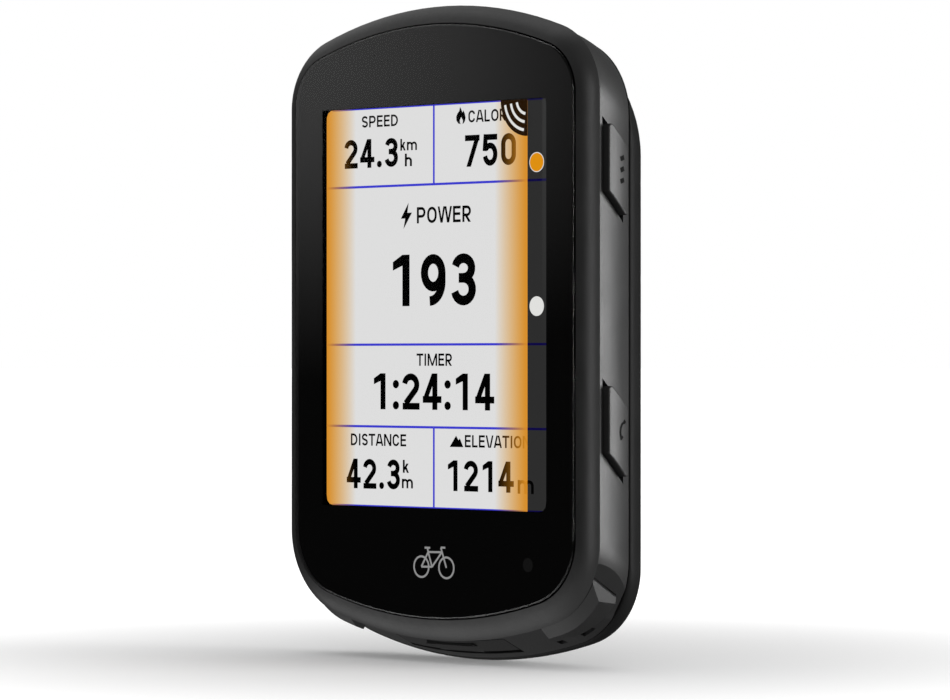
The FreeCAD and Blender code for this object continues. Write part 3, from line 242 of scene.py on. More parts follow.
class Paint:
    """A node material under construction."""

    def __init__(self, name, **values):
        self.material = bpy.data.materials.new(name)
        self.material.use_nodes = True
        self.tree = self.material.node_tree
        self.shader = self.tree.nodes["Principled BSDF"]
        self.place = self.node("ShaderNodeTexCoord").outputs["Object"]
        for key, value in values.items():
            self.shader.inputs[key.replace("_", " ")].default_value = value

    def node(self, kind, **settings):
        made = self.tree.nodes.new(kind)
        for key, value in settings.items():
            setattr(made, key, value)
        return made

    def link(self, output, target):
        self.tree.links.new(output, target)

    def noise(self, scale, detail=3.0, roughness=0.55, stretch=(1, 1, 1)):
        """Noise in object space; scale is in features per metre."""
        mapping = self.node("ShaderNodeMapping")
        mapping.inputs["Scale"].default_value = stretch
        self.link(self.place, mapping.inputs["Vector"])
        made = self.node("ShaderNodeTexNoise")
        made.inputs["Scale"].default_value = scale
        made.inputs["Detail"].default_value = detail
        made.inputs["Roughness"].default_value = roughness
        self.link(mapping.outputs[0], made.inputs["Vector"])
        return made.outputs["Fac"]

    def spread(self, value, low, high, start=0.3, end=0.7, smooth=False):
        made = self.node("ShaderNodeMapRange")
        if smooth:
            made.interpolation_type = "SMOOTHSTEP"
        for name, number in (("From Min", start), ("From Max", end), ("To Min", low), ("To Max", high)):
            made.inputs[name].default_value = number
        self.link(value, made.inputs["Value"])
        return made.outputs["Result"]

    def maths(self, kind, first, second=0.0):
        made = self.node("ShaderNodeMath", operation=kind)
        for socket, value in zip(made.inputs, (first, second)):
            if isinstance(value, (int, float)):
                socket.default_value = value
            else:
                self.link(value, socket)
        return made.outputs[0]

    def blend(self, share, first, second):
        """Mixes two colours, each a tuple or a socket."""
        made = self.node("ShaderNodeMix", data_type="RGBA")
        for socket, value in ((made.inputs[6], first), (made.inputs[7], second)):
            if isinstance(value, tuple):
                socket.default_value = (*value, 1.0)
            else:
                self.link(value, socket)
        self.link(share, made.inputs[0])
        return made.outputs[2]

    def bump(self, height, distance, strength=0.5):
        made = self.node("ShaderNodeBump")
        made.inputs["Strength"].default_value = strength
        made.inputs["Distance"].default_value = distance
        self.link(height, made.inputs["Height"])
        self.link(made.outputs[0], self.shader.inputs["Normal"])

    def colour(self, value):
        self.link(value, self.shader.inputs["Base Color"])

    def rough(self, value):
        self.link(value, self.shader.inputs["Roughness"])


def moulded(name, dark, light, rough, grain=4200.0, relief=0.000012, level=0.5, strength=0.35):
    """Moulded plastic or rubber: a fine spark-eroded grain, slow changes of tone, uneven gloss."""
    paint = Paint(name, Specular_IOR_Level=level)
    slow = paint.noise(160.0, 2.0)
    fine = paint.noise(grain, 3.0, 0.6)
    paint.colour(paint.blend(paint.spread(slow, 0.0, 1.0), (dark,) * 3, (light,) * 3))
    uneven = paint.maths("ADD", paint.spread(slow, -0.025, 0.025), paint.spread(fine, -0.05, 0.05))
    paint.rough(paint.maths("ADD", uneven, rough))
    paint.bump(fine, relief, strength)
    return paint.material


def metal(name, tone, rough, stretch=(1, 1, 1), scale=2500.0):
    """Sheet or turned metal with faint drawn marks."""
    paint = Paint(name, Metallic=1.0)
    marks = paint.noise(scale, 4.0, 0.6, stretch)
    paint.colour(paint.blend(paint.spread(marks, 0.0, 1.0), tuple(c * 0.8 for c in tone), tone))
    paint.rough(paint.spread(marks, rough - 0.06, rough + 0.08))
    paint.bump(marks, 0.000004, 0.3)
    return paint.material


def tinted(name, first, second, rough, scale=900.0, relief=0.00001, **values):
    """A plain part with two tones of one colour in a fine mottle."""
    paint = Paint(name, **values)
    mottle = paint.noise(scale, 3.0)
    paint.colour(paint.blend(paint.spread(mottle, 0.0, 1.0), first, second))
    paint.rough(paint.spread(mottle, rough - 0.04, rough + 0.06))
    paint.bump(mottle, relief, 0.3)
    return paint.material


def make_board_material():
    """Green solder mask over a pattern of copper tracks."""
    paint = Paint("board_laminate")
    brick = paint.node("ShaderNodeTexBrick")
    turned = paint.node("ShaderNodeMapping")
    turned.inputs["Rotation"].default_value = (math.radians(90), 0, 0)
    paint.link(paint.place, turned.inputs["Vector"])
    paint.link(turned.outputs[0], brick.inputs["Vector"])
    brick.inputs["Scale"].default_value = 260.0
    brick.inputs["Mortar Size"].default_value = 0.06
    tracks = paint.blend(brick.outputs["Fac"], (0.008, 0.055, 0.03), (0.02, 0.12, 0.06))
    paint.colour(tracks)
    paint.rough(paint.spread(paint.noise(1500.0), 0.28, 0.42))
    paint.bump(brick.outputs["Fac"], 0.00003, 0.4)
    return paint.material


def make_battery_material():
    """A crimped foil pouch."""
    paint = Paint("battery_pouch", Metallic=0.85)
    crease = paint.noise(220.0, 4.0, 0.6)
    paint.colour(paint.blend(paint.spread(crease, 0.0, 1.0), (0.42, 0.42, 0.44), (0.62, 0.62, 0.64)))
    paint.rough(paint.spread(crease, 0.3, 0.45))
    paint.bump(crease, 0.00012, 0.4)
    return paint.material


# Display colours, as the share of full signal from 0 to 1.
WHITE = (0.87, 0.87, 0.87)
BLACK = (0.01, 0.01, 0.01)
ORANGE = (0.84, 0.545, 0.165)
GAMMA = 2.2
BAND_LEFT = (-19.75, -14.5)      # where the orange bands start and end, in millimetres
BAND_RIGHT = (10.95, 16.35)


def screen_paint(name, base, banded=True):
    """A lit colour of the display. Soft orange bands lie over both sides of the main area."""
    paint = Paint(name, Roughness=0.6, Specular_IOR_Level=0.0)
    paint.shader.inputs["Base Color"].default_value = (0.002, 0.002, 0.002, 1)
    pixels = paint.noise(6100.0, 0.0)
    lit = paint.blend(paint.spread(pixels, 0.0, 1.0), tuple(c * 0.993 for c in base), base)
    if banded:
        split = paint.node("ShaderNodeSeparateXYZ")
        paint.link(paint.place, split.inputs[0])
        across = split.outputs["X"]
        left = paint.spread(across, 0.96, 0.0, BAND_LEFT[0] * MM, BAND_LEFT[1] * MM)
        right = paint.spread(across, 0.0, 0.96, BAND_RIGHT[0] * MM, BAND_RIGHT[1] * MM)
        on_main = paint.spread(across, 1.0, 0.0, BAR_LEFT, BAR_LEFT + 0.01 * MM)
        bands = paint.maths("MAXIMUM", left, paint.maths("MULTIPLY", right, on_main))
        lit = paint.blend(bands, lit, ORANGE)
    light = paint.node("ShaderNodeGamma")
    light.inputs["Gamma"].default_value = GAMMA
    paint.link(lit, light.inputs["Color"])
    paint.link(light.outputs[0], paint.shader.inputs["Emission Color"])
    paint.shader.inputs["Emission Strength"].default_value = 1.0
    return paint.material


def make_glass_material():
    """Cover glass: clear, with a mirror gloss that an optical coating tames over the display."""
    paint = Paint("lens_glass")
    tree = paint.tree
    tree.nodes.remove(paint.shader)
    clear = paint.node("ShaderNodeBsdfTransparent")
    gloss = paint.node("ShaderNodeBsdfGlossy")
    gloss.inputs["Color"].default_value = (1, 1, 1, 1)
    smear = paint.noise(45.0, 3.0)
    paint.link(paint.spread(smear, 0.012, 0.03), gloss.inputs["Roughness"])
    fresnel = paint.node("ShaderNodeFresnel")
    fresnel.inputs["IOR"].default_value = 1.5
    side = paint.node("ShaderNodeNewGeometry")
    outside = paint.maths("SUBTRACT", 1.0, side.outputs["Backfacing"])
    split = paint.node("ShaderNodeSeparateXYZ")
    paint.link(paint.place, split.inputs[0])
    edge = 0.15 * MM
    across = paint.maths("ABSOLUTE", split.outputs["X"])
    up = paint.maths("ABSOLUTE", paint.maths("SUBTRACT", split.outputs["Z"], VIEW_MIDDLE.z))
    tall = (VIEW_TOP - VIEW_BOTTOM) / 2
    inside = paint.maths("MULTIPLY",
                         paint.spread(across, 1.0, 0.0, VIEW_HALF - edge, VIEW_HALF + edge, True),
                         paint.spread(up, 1.0, 0.0, tall - edge, tall + edge, True))
    coated = paint.spread(inside, 1.0, 0.08, 0.0, 1.0)
    share = paint.maths("MULTIPLY", paint.maths("MULTIPLY", fresnel.outputs[0], outside), coated)
    mix = paint.node("ShaderNodeMixShader")
    paint.link(share, mix.inputs["Fac"])
    paint.link(clear.outputs[0], mix.inputs[1])
    paint.link(gloss.outputs[0], mix.inputs[2])
    paint.link(mix.outputs[0], tree.nodes["Material Output"].inputs["Surface"])
    return paint.material


# ------------------------------------------------------------------ mesh helpers

FLAT_AREA = 0.0001          # faces larger than this, in square metres, are shaded flat


def finish_mesh(name, bm, material, body="housing", smooth_angle=None):
    """Turns a bmesh into a piece that rides on a body."""
    bmesh.ops.recalc_face_normals(bm, faces=bm.faces)
    mesh = bpy.data.meshes.new(name)
    bm.to_mesh(mesh)
    bm.free()
    mesh.materials.append(material)
    if smooth_angle is not None:
        mesh.shade_smooth()
        mesh.set_sharp_from_angle(angle=math.radians(smooth_angle))
        for face in mesh.polygons:
            face.use_smooth = face.area < FLAT_AREA
    piece = bpy.data.objects.new(name, mesh)
    bpy.context.scene.collection.objects.link(piece)
    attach(piece, body)
    return piece


def arc(x, y, across, up, start, end, steps=14):
    """Points along an ellipse from one angle to another, in degrees."""
    angles = [math.radians(start + (end - start) * n / steps) for n in range(steps + 1)]
    return [(x + across * math.cos(a), y + up * math.sin(a)) for a in angles]


def outline(half, top, bottom, bows, corners, grow=0.0, step=6):
    """Straight sides, a bowed top and bottom and round corners, anticlockwise from the right side.
    bows and corners hold the top's radius, then the bottom's. Growing it moves every point outwards."""
    points = []
    for sign, reach, bow, corner in ((1, top, bows[0], corners[0]), (-1, -bottom, bows[1], corners[1])):
        middle = reach - bow
        inset = half - corner
        rise = middle + math.sqrt((bow - corner) ** 2 - inset ** 2)
        turn = math.degrees(math.atan2(rise - middle, inset))
        side = arc(inset, rise, corner + grow, corner + grow, 0, turn, 2 * step)
        crest = arc(0, middle, bow + grow, bow + grow, turn, 180 - turn, 5 * step)[1:-1]
        other = [(-x, z) for x, z in reversed(side)]
        half_ring = side + crest + other
        points += half_ring if sign > 0 else [(-x, -z) for x, z in half_ring]
    return points


def add_prism(bm, points, place):
    """A flat piece with the given outline; place(u, v, h) gives the point in space, h from 0 to 1."""
    rings = [[bm.verts.new(place(u, v, h)) for u, v in points] for h in (0, 1)]
    count = len(points)
    for n in range(count):
        after = (n + 1) % count
        bm.faces.new((rings[0][n], rings[0][after], rings[1][after], rings[1][n]))
    bm.faces.new(rings[0])
    bm.faces.new(list(reversed(rings[1])))


def add_stroke(bm, points, width, place, closed=False):
    """A line of even width with mitred joins, as a thin closed solid."""
    count = len(points)
    sides = []
    for n, (x, y) in enumerate(points):
        before = points[n - 1] if closed or n else None
        after = points[(n + 1) % count] if closed or n < count - 1 else None
        ways = []
        for start, end in ((before, (x, y)), ((x, y), after)):
            if start and end:
                length = math.hypot(end[0] - start[0], end[1] - start[1])
                ways.append(((end[0] - start[0]) / length, (end[1] - start[1]) / length))
        way = (sum(w[0] for w in ways), sum(w[1] for w in ways))
        length = math.hypot(*way)
        normal = (-way[1] / length, way[0] / length)
        reach = width / 2 / max(0.35, -normal[0] * ways[0][1] + normal[1] * ways[0][0])
        sides.append([(x + s * reach * normal[0], y + s * reach * normal[1]) for s in (1, -1)])
    grid = [[bm.verts.new(place(*side, h)) for h in (0, 1) for side in pair] for pair in sides]
    spans = count if closed else count - 1
    for n in range(spans):
        a, b = grid[n], grid[(n + 1) % count]
        for first, second in ((0, 1), (1, 3), (3, 2), (2, 0)):
            bm.faces.new((a[first], a[second], b[second], b[first]))
    if not closed:
        for end in (grid[0], grid[-1]):
            bm.faces.new((end[0], end[1], end[3], end[2]))


def slant(x0, y0, x1, y1, width):
    """A slanting bar with level ends; width is measured square to it."""
    level = width * math.hypot(x1 - x0, y1 - y0) / abs(y1 - y0) / 2
    return [(x0 - level, y0), (x0 + level, y0), (x1 + level, y1), (x1 - level, y1)]


# ------------------------------------------------------------------ lettering

# How wide each sign is, with the height of a capital as 1.
ADVANCE = {
    "A": 0.918, "C": 0.916, "D": 0.922, "E": 0.80, "I": 0.383, "L": 0.757, "M": 1.228, "N": 1.003,
    "O": 0.967, "P": 0.887, "R": 0.866, "S": 0.834, "T": 0.839, "V": 0.895, "W": 1.248, "k": 0.713,
    "m": 1.233, "h": 0.775, ":": 0.341, ".": 0.37,
}
DIGIT_ADVANCE = 0.79
SMALL_HEIGHT = 0.743


def sign(char, w):
    """The strokes and filled shapes of one sign of stroke width w, on a capital of height 1."""
    wide = ADVANCE.get(char, DIGIT_ADVANCE)
    gap = 0.075
    left, right = gap + w / 2, wide - gap - w / 2
    middle = wide / 2
    top, low = 1 - w / 2, w / 2
    half = (right - left) / 2
    lines, rings, shapes = [], [], []
    stem = [(left, 0), (left, 1)]
    bar_start, bar_end = left + w / 2, right + w / 2
    if char == "I":
        lines = [[(middle, 0), (middle, 1)]]
    elif char == "L":
        lines = [stem, [(bar_start, low), (bar_end, low)]]
    elif char == "E":
        bars = ((top, bar_end), (0.52, bar_end - 0.04), (low, bar_end))
        lines = [stem] + [[(bar_start, y), (end, y)] for y, end in bars]
    elif char == "T":
        lines = [[(gap / 2, top), (wide - gap / 2, top)], [(middle, 0), (middle, 1 - w)]]
    elif char in "PR":
        waist = 0.43
        bend = (top - waist) / 2
        bowl = arc(right - bend, waist + bend, bend, bend, 90, -90)
        lines = [stem, [(bar_start, top)] + bowl + [(bar_start, waist)]]
        if char == "R":
            shapes = [slant(right - 0.02, 0, middle - 0.02, waist - w / 2 + 0.01, w)]
    elif char == "D":
        start = left + 0.32 * (right - left)
        bowl = arc(start, 0.5, right - start, 0.5 - low, 90, -90, 20)
        lines = [stem, [(bar_start, top)] + bowl + [(bar_start, low)]]
    elif char in "O0":
        flat = top - 0.5 - half * 1.05
        upper = arc(middle, 0.5 + flat, half, half * 1.05, 0, 180)
        lower = arc(middle, 0.5 - flat, half, half * 1.05, 180, 360)
        rings = [upper + lower]
    elif char == "C":
        flat = top - 0.5 - half
        upper = arc(middle, 0.5 + flat, half, half, 12, 180)
        lower = arc(middle, 0.5 - flat, half, half, 180, 348)
        lines = [upper + lower]
    elif char == "S":
        bend = (top - 0.5) / 2
        upper = arc(middle, 0.5 + bend, half, bend, 18, 225, 16)
        lower = arc(middle, 0.5 - bend, half, bend, 45, -162, 16)
        lines = [upper + lower]
    elif char == "N":
        lines = [stem, [(right, 0), (right, 1)]]
        shapes = [slant(right - 0.02, 0, left + 0.02, 1, w)]
    elif char == "M":
        lines = [stem, [(right, 0), (right, 1)]]
        shapes = [slant(middle, 0, side, 1, w * 0.9) for side in (left + 0.02, right - 0.02)]
    elif char in "AV":
        foot, peak = (0, 1) if char == "A" else (1, 0)
        for s in (-1, 1):
            low_x, high_x = middle + s * (middle - w * 0.62), middle + s * w * 0.42
            shapes.append(slant(low_x, foot, high_x, peak, w * 0.95))
        if char == "A":
            lines = [[(middle - 0.22, 0.27), (middle + 0.22, 0.27)]]
    elif char == "W":
        for s in (-1, 1):
            shapes.append(slant(middle + s * (middle - w * 0.55), 1, middle + s * wide * 0.235, 0, w * 0.9))
            shapes.append(slant(middle + s * w * 0.3, 1, middle + s * wide * 0.215, 0, w * 0.9))
    elif char == "1":
        stem_x = middle + 0.08
        lines = [[(stem_x, 0), (stem_x, 1)]]
        flag_low = [(0.13, 0.86), (0.13, 0.86 - w * 0.88)]
        shapes = [[(stem_x, 1), (stem_x - w / 2, 1)] + flag_low + [(stem_x, 1 - w * 0.95)]]
    elif char == "2":
        bend = half * 0.97
        bowl = arc(middle - 0.01, top - bend, half, bend, 172, -38, 16)
        lines = [bowl + [(left + w * 0.15, w * 0.9)], [(gap + 0.01, low), (wide - gap, low)]]
    elif char == "3":
        upper, lower = (top - 0.53) / 2, (0.53 - low) / 2
        lines = [
            arc(middle - 0.01, top - upper, half * 0.92, upper, 168, -90, 16),
            arc(middle - 0.01, low + lower, half, lower, 90, -168, 16),
            [(middle - 0.13, 0.53), (middle, 0.53)],
        ]
    elif char == "4":
        stem_x = wide - gap - 0.13 - w / 2
        lines = [[(stem_x, 0), (stem_x, 1)], [(gap - 0.03, 0.285), (wide - gap + 0.02, 0.285)]]
        shapes = [slant(gap + w * 0.42, 0.33, stem_x - w * 0.1, 1, w * 0.88)]
    elif char == "5":
        bowl = (0.64 - low) / 2
        lines = [
            [(left + 0.03, 1), (left - 0.015, 0.47)],
            [(left + 0.02, top), (wide - gap - 0.02, top)],
            arc(middle - 0.01, low + bowl, half, bowl, 142, -168, 18),
        ]
    elif char == "7":
        lines = [[(gap, top), (wide - gap, top)]]
        shapes = [slant(gap + 0.16, 0, wide - gap - w * 0.55, 1 - w / 2, w * 0.97)]
    elif char == "9":
        bowl = (top - 0.37) / 2
        rings = [arc(middle, top - bowl, half, bowl, 0, 360, 26)[:-1]]
        lines = [[(right, top - bowl)] + arc(middle - 0.09, 0.46, half + 0.09, 0.46 - low, 0, -90, 12)]
    elif char in ":.":
        dot = 0.62 * w
        for y in (dot, 0.70) if char == ":" else (dot,):
            shapes.append(arc(middle, y, dot, dot, 0, 342, 19))
    elif char == "k":
        lines = [[(left, 0), (left, 1.03)]]
        shapes = [
            slant(left + 0.05, 0.24, right - 0.04, SMALL_HEIGHT, w * 0.95),
            slant(left + 0.20, 0.42, right, 0, w * 0.95),
        ]
    elif char in "hm":
        stems = [left, right] if char == "h" else [left, middle, right]
        lines = [[(left, 0), (left, 1.03 if char == "h" else SMALL_HEIGHT)]]
        for start, end in zip(stems, stems[1:]):
            bend = (end - start) / 2
            arch = arc((start + end) / 2, SMALL_HEIGHT - w / 2 - bend, bend, bend, 150, 0, 10)
            lines.append(arch + [(end, 0)])
    return wide, lines, rings, shapes


def add_words(bm, words, span, baseline, height, weight, place):
    """Sets a line of signs that fills a span from left to right, with capitals of the given height."""
    drawn = []
    start = 0.0
    for char in words:
        wide, lines, rings, shapes = sign(char, weight)
        drawn.append((start, lines, rings, shapes))
        start += wide
    stroke_edges = [at + x + side for at, lines, rings, _ in drawn for points in lines + rings
                    for x, _ in points for side in (-weight / 2, weight / 2)]
    shape_edges = [at + x for at, _, _, shapes in drawn for points in shapes for x, _ in points]
    first = min(stroke_edges + shape_edges)
    last = max(stroke_edges + shape_edges)
    stretch = (span[1] - span[0]) / (last - first)
    for at, lines, rings, shapes in drawn:

        def spot(u, v, h, at=at):
            return place(span[0] + (at + u - first) * stretch, baseline + v * height, h)

        for points in lines:
            add_stroke(bm, points, weight, spot)
        for points in rings:
            add_stroke(bm, points, weight, spot, closed=True)
        for points in shapes:
            add_prism(bm, points, spot)


# ------------------------------------------------------------------ display

PANEL_DEPTH = 0.80         # all below in millimetres behind the lens face
LAYER = 0.012
REGULAR, UNIT, BOLD = 0.17, 0.175, 0.187


def on_display(layer, thick=1.0):
    """Maps millimetres from the display's middle to space, a number of layers in front of the panel."""
    front = PANEL_DEPTH - LAYER * layer

    def place(u, v, h):
        depth = front + LAYER * thick * (1 - h)
        return VIEW_MIDDLE + Vector((u * MM, depth * MM, v * MM))

    return place


def rounded_box(u0, v0, u1, v1, radii):
    """A rectangle whose corners have the radii of lower left, lower right, upper right, upper left."""
    points = []
    corners = ((u0, v0, 180), (u1, v0, 270), (u1, v1, 0), (u0, v1, 90))
    for (u, v, start), r in zip(corners, radii):
        if r == 0:
            points.append((u, v))
        else:
            x = u + (r if u == u0 else -r)
            y = v + (r if v == v0 else -r)
            points += arc(x, y, r, r, start, start + 90, 6)
    return points


VIEW_U = VIEW_HALF / MM
VIEW_V = (VIEW_TOP - VIEW_BOTTOM) / 2 / MM
BAR_U = BAR_LEFT / MM
ROW_LINES = (15.9, -4.94, -15.72)
CORNER = 1.1


def add_display():
    """The lit panel with its fields, rules, icons and side bar."""
    black = screen_paint("screen_ink", BLACK)
    white = screen_paint("screen_white", WHITE)
    grey = screen_paint("screen_side_bar", (0.19, 0.19, 0.19), False)
    blue = screen_paint("screen_rules", (0.24, 0.24, 0.8))
    navy = screen_paint("screen_rules_on_bar", (0.08, 0.065, 0.27), False)
    amber = screen_paint("screen_amber", (0.87, 0.56, 0.09), False)
    pale = screen_paint("screen_marks", (0.88, 0.88, 0.87), False)
    brown = screen_paint("screen_corner", (0.16, 0.105, 0.05), False)

    def sheet(name, material, layer, shapes=(), strokes=(), words=()):
        bm = bmesh.new()
        place = on_display(layer)
        for points in shapes:
            add_prism(bm, points, place)
        for points, width, closed in strokes:
            add_stroke(bm, points, width, place, closed)
        for text, left, right, baseline, height, weight in words:
            add_words(bm, text, (left, right), baseline, height, weight, place)
        return finish_mesh(name, bm, material)

    sheet("screen_ground", white, 0, [rounded_box(-VIEW_U, -VIEW_V, BAR_U, VIEW_V, (CORNER, 0, 0, CORNER))])
    sheet("screen_bar", grey, 3, [rounded_box(BAR_U, -VIEW_V, VIEW_U, VIEW_V, (0, CORNER, 0.3, 0))])

    rule, hairline = 0.31, 0.16
    edges = [s * (VIEW_V - hairline / 2) for s in (-1, 1)]
    rules = [([(-VIEW_U, v), (BAR_U, v)], rule, False) for v in ROW_LINES]
    rules += [([(-VIEW_U + CORNER, v), (BAR_U, v)], hairline, False) for v in edges]
    rules += [([(0, start), (0, end)], rule, False) for start, end in
              ((VIEW_V, ROW_LINES[0]), (ROW_LINES[2], -VIEW_V))]
    sheet("screen_rules", blue, 1, strokes=rules)
    bar_rules = [([(BAR_U, v), (VIEW_U, v)], rule, False) for v in ROW_LINES]
    bar_rules += [([(BAR_U, v), (VIEW_U - 0.6, v)], hairline, False) for v in edges]
    sheet("screen_rules_on_bar", navy, 4, strokes=bar_rules)

    sheet("screen_labels", black, 2, words=[
        ("SPEED", -13.34, -6.6, 23.74, 1.52, REGULAR), ("CALOR", 6.27, 13.0, 23.66, 1.56, REGULAR),
        ("POWER", -3.09, 6.72, 10.86, 2.12, REGULAR), ("TIMER", -3.28, 3.29, -7.72, 1.6, REGULAR),
        ("DISTANCE", -15.42, -4.94, -18.27, 1.58, REGULAR), ("ELEVATION", 5.64, 17.3, -18.22, 1.58, REGULAR),
        ("km", -6.14, -3.09, 20.46, 1.5, UNIT), ("h", -5.31, -4.01, 18.38, 1.62, UNIT),
        ("k", -5.68, -4.57, -21.73, 1.64, UNIT), ("m", -5.86, -3.83, -23.75, 1.66, UNIT),
    ])
    sheet("screen_numbers", black, 2, words=[
        ("24.3", -16.95, -6.6, 18.4, 3.8, BOLD), ("750", 5.28, 14.71, 17.96, 4.08, BOLD),
        ("193", -7.53, 7.61, 0.08, 6.74, BOLD), ("1:24:14", -11.08, 11.35, -13.45, 4.74, BOLD),
        ("42.3", -16.57, -6.23, -23.95, 3.93, BOLD), ("1214", 2.57, 14.71, -23.92, 3.98, BOLD),
    ])
    sheet("screen_unit", black, 5, words=[("m", 15.06, 17.86, -24.0, 2.35, UNIT)])

    bolt = [(-4.62, 13.6), (-6.05, 11.55), (-5.25, 11.55), (-5.55, 10.2), (-4.0, 12.3), (-4.85, 12.3)]
    peaks = [(2.9, -18.22), (4.05, -16.75), (4.5, -17.35), (4.72, -17.08), (5.35, -18.22)]
    flame = [
        (4.95, 23.5), (4.45, 23.62), (4.12, 24.0), (4.08, 24.5), (4.32, 24.95), (4.62, 25.2), (4.78, 25.75),
        (5.05, 25.3), (5.2, 25.0), (5.3, 25.12), (5.36, 25.3), (5.62, 24.85), (5.76, 24.35), (5.66, 23.9),
        (5.4, 23.6), (5.22, 23.52), (5.3, 23.95), (4.98, 24.45), (4.7, 24.0), (4.78, 23.65),
    ]
    sheet("screen_icons", black, 2, [bolt, peaks, flame])

    corner = (BAR_U, VIEW_V)
    fan = [corner] + arc(*corner, 4.7, 4.7, 180, 270, 18)
    sheet("screen_corner_fan", brown, 5, [fan])
    waves = [(arc(*corner, r, r, 187.5 + 6 / r, 262.5 - 6 / r, 14), 0.36, False) for r in (3.95, 2.92, 1.88)]
    sheet("screen_corner_waves", pale, 6, strokes=waves)
    for label, ink, layer, v, radius in (("amber_edge", pale, 5, 18.17, 1.27), ("amber", amber, 6, 18.17, 1.17),
                                         ("pale", pale, 5, -0.12, 1.25)):
        sheet(f"screen_dot_{label}", ink, layer, [arc(18.38, v, radius, radius, 0, 350, 35)])


# ------------------------------------------------------------------ lens

LENS_HALF = lens_high.x / MM
LENS_TOP = lens_high.z / MM
LENS_BOTTOM = lens_low.z / MM
LENS_BOWS = (63.5, 66.5)
LENS_CORNERS = (6.7, 8.6)
GLASS_BACK = 0.70
MASK_FRONT = 0.72
LENS_BACK = (lens_high.y - lens_low.y) / MM
EDGE_ROUND = 0.25


def lens_ring(grow, depth):
    """The lens outline, grown by a distance, at a depth behind the lens face."""
    points = outline(LENS_HALF, LENS_TOP, LENS_BOTTOM, LENS_BOWS, LENS_CORNERS, grow)
    return [Vector((x * MM, FRONT_Y + depth * MM, z * MM)) for x, z in points]


def add_rings(bm, rings):
    """Joins rings of equal length into a closed skin."""
    made = [[bm.verts.new(point) for point in ring] for ring in rings]
    for first, second in zip(made, made[1:]):
        count = len(first)
        for n in range(count):
            after = (n + 1) % count
            bm.faces.new((first[n], first[after], second[after], second[n]))
    bm.faces.new(made[0])
    bm.faces.new(list(reversed(made[-1])))


def spread_points(points, count):
    """Places count points evenly in angle round a closed outline, starting on its right side."""
    ring = []
    rim = outline(LENS_HALF, LENS_TOP, LENS_BOTTOM, LENS_BOWS, LENS_CORNERS)
    closed = list(zip(points, points[1:] + points[:1]))
    for x, z in rim[:count]:
        aim = (x, z - VIEW_MIDDLE.z / MM)
        best = None
        for (ax, ay), (bx, by) in closed:
            dx, dy = bx - ax, by - ay
            cross = aim[0] * dy - aim[1] * dx
            if abs(cross) < 1e-9:
                continue
            reach = (ax * dy - ay * dx) / cross
            along = (ax * aim[1] - ay * aim[0]) / cross
            if reach > 0 and -1e-6 <= along <= 1 + 1e-6:
                best = (aim[0] * reach, aim[1] * reach)
        ring.append(best)
    return ring


def add_lens():
    """The cover glass with its rounded edge, and the black border printed behind it."""
    glass = bmesh.new()
    edge = [(EDGE_ROUND * (math.cos(a) - 1), EDGE_ROUND * (1 - math.sin(a)))
            for a in (math.radians(90 - 18 * n) for n in range(6))]
    add_rings(glass, [lens_ring(grow, depth) for grow, depth in edge] + [lens_ring(0, GLASS_BACK)])
    clear = finish_mesh("lens_glass", glass, make_glass_material(), smooth_angle=25)
    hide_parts("front_lens")
    clear.visible_shadow = False

    mask_material = moulded("lens_mask_ink", 0.0002, 0.0004, 0.6, grain=1200.0, relief=0.000003, level=0.0)
    mask = bmesh.new()
    inner = rounded_box(-VIEW_U, -VIEW_V, VIEW_U, VIEW_V, (CORNER, CORNER, 0.3, CORNER))
    count = len(lens_ring(0, 0))
    window = spread_points(inner, count)
    rings = []
    for depth in (MASK_FRONT, LENS_BACK):
        hole = [VIEW_MIDDLE + Vector((u * MM, depth * MM, v * MM)) for u, v in window]
        rings.append((lens_ring(0, depth), hole))
    verts = [[[mask.verts.new(p) for p in ring] for ring in pair] for pair in rings]
    (outer_front, hole_front), (outer_back, hole_back) = verts
    for n in range(count):
        after = (n + 1) % count
        for a, b in ((outer_front, hole_front), (hole_front, hole_back), (hole_back, outer_back),
                     (outer_back, outer_front)):
            mask.faces.new((a[n], a[after], b[after], b[n]))
    finish_mesh("lens_mask", mask, mask_material)


def add_lens_marks():
    """A light-sensor window and a plain bicycle pictogram on the black border, both glowing with painted light.
    """
    def on_mask(u, v, h):
        return VIEW_MIDDLE + Vector((u * MM, (MASK_FRONT - 0.012 * h) * MM, v * MM))

    # Both marks use the display's emissive paint, so their tone is painted light and the lamps do not light
    # them.
    sensor = bmesh.new()
    add_prism(sensor, arc(16.85, -33.05, 0.85, 0.9, 0, 350, 35), on_mask)
    finish_mesh("sensor_window", sensor, screen_paint("sensor_window", (0.085, 0.085, 0.085), False))
    mark = bmesh.new()
    wheel, line = 1.35, 0.26
    left, right, hub = (-2.2, -33.9), (2.35, -33.9), (-0.25, -33.85)
    seat, head = (-0.95, -31.95), (1.55, -31.9)
    for centre in (left, right):
        add_stroke(mark, arc(*centre, wheel, wheel, 0, 348, 29), line, on_mask, closed=True)
    for points in ([left, seat], [left, hub], [hub, seat], [seat, head], [hub, head], [right, (1.35, -31.3)],
                   [(1.35, -31.3), (2.15, -31.3)], [seat, (-1.1, -31.4)], [(-1.6, -31.4), (-0.6, -31.4)]):
        add_stroke(mark, points, line, on_mask)
    finish_mesh("pictogram", mark, screen_paint("glowing_pictogram_ink", (0.56, 0.56, 0.56), False))


# ------------------------------------------------------------------ key icons

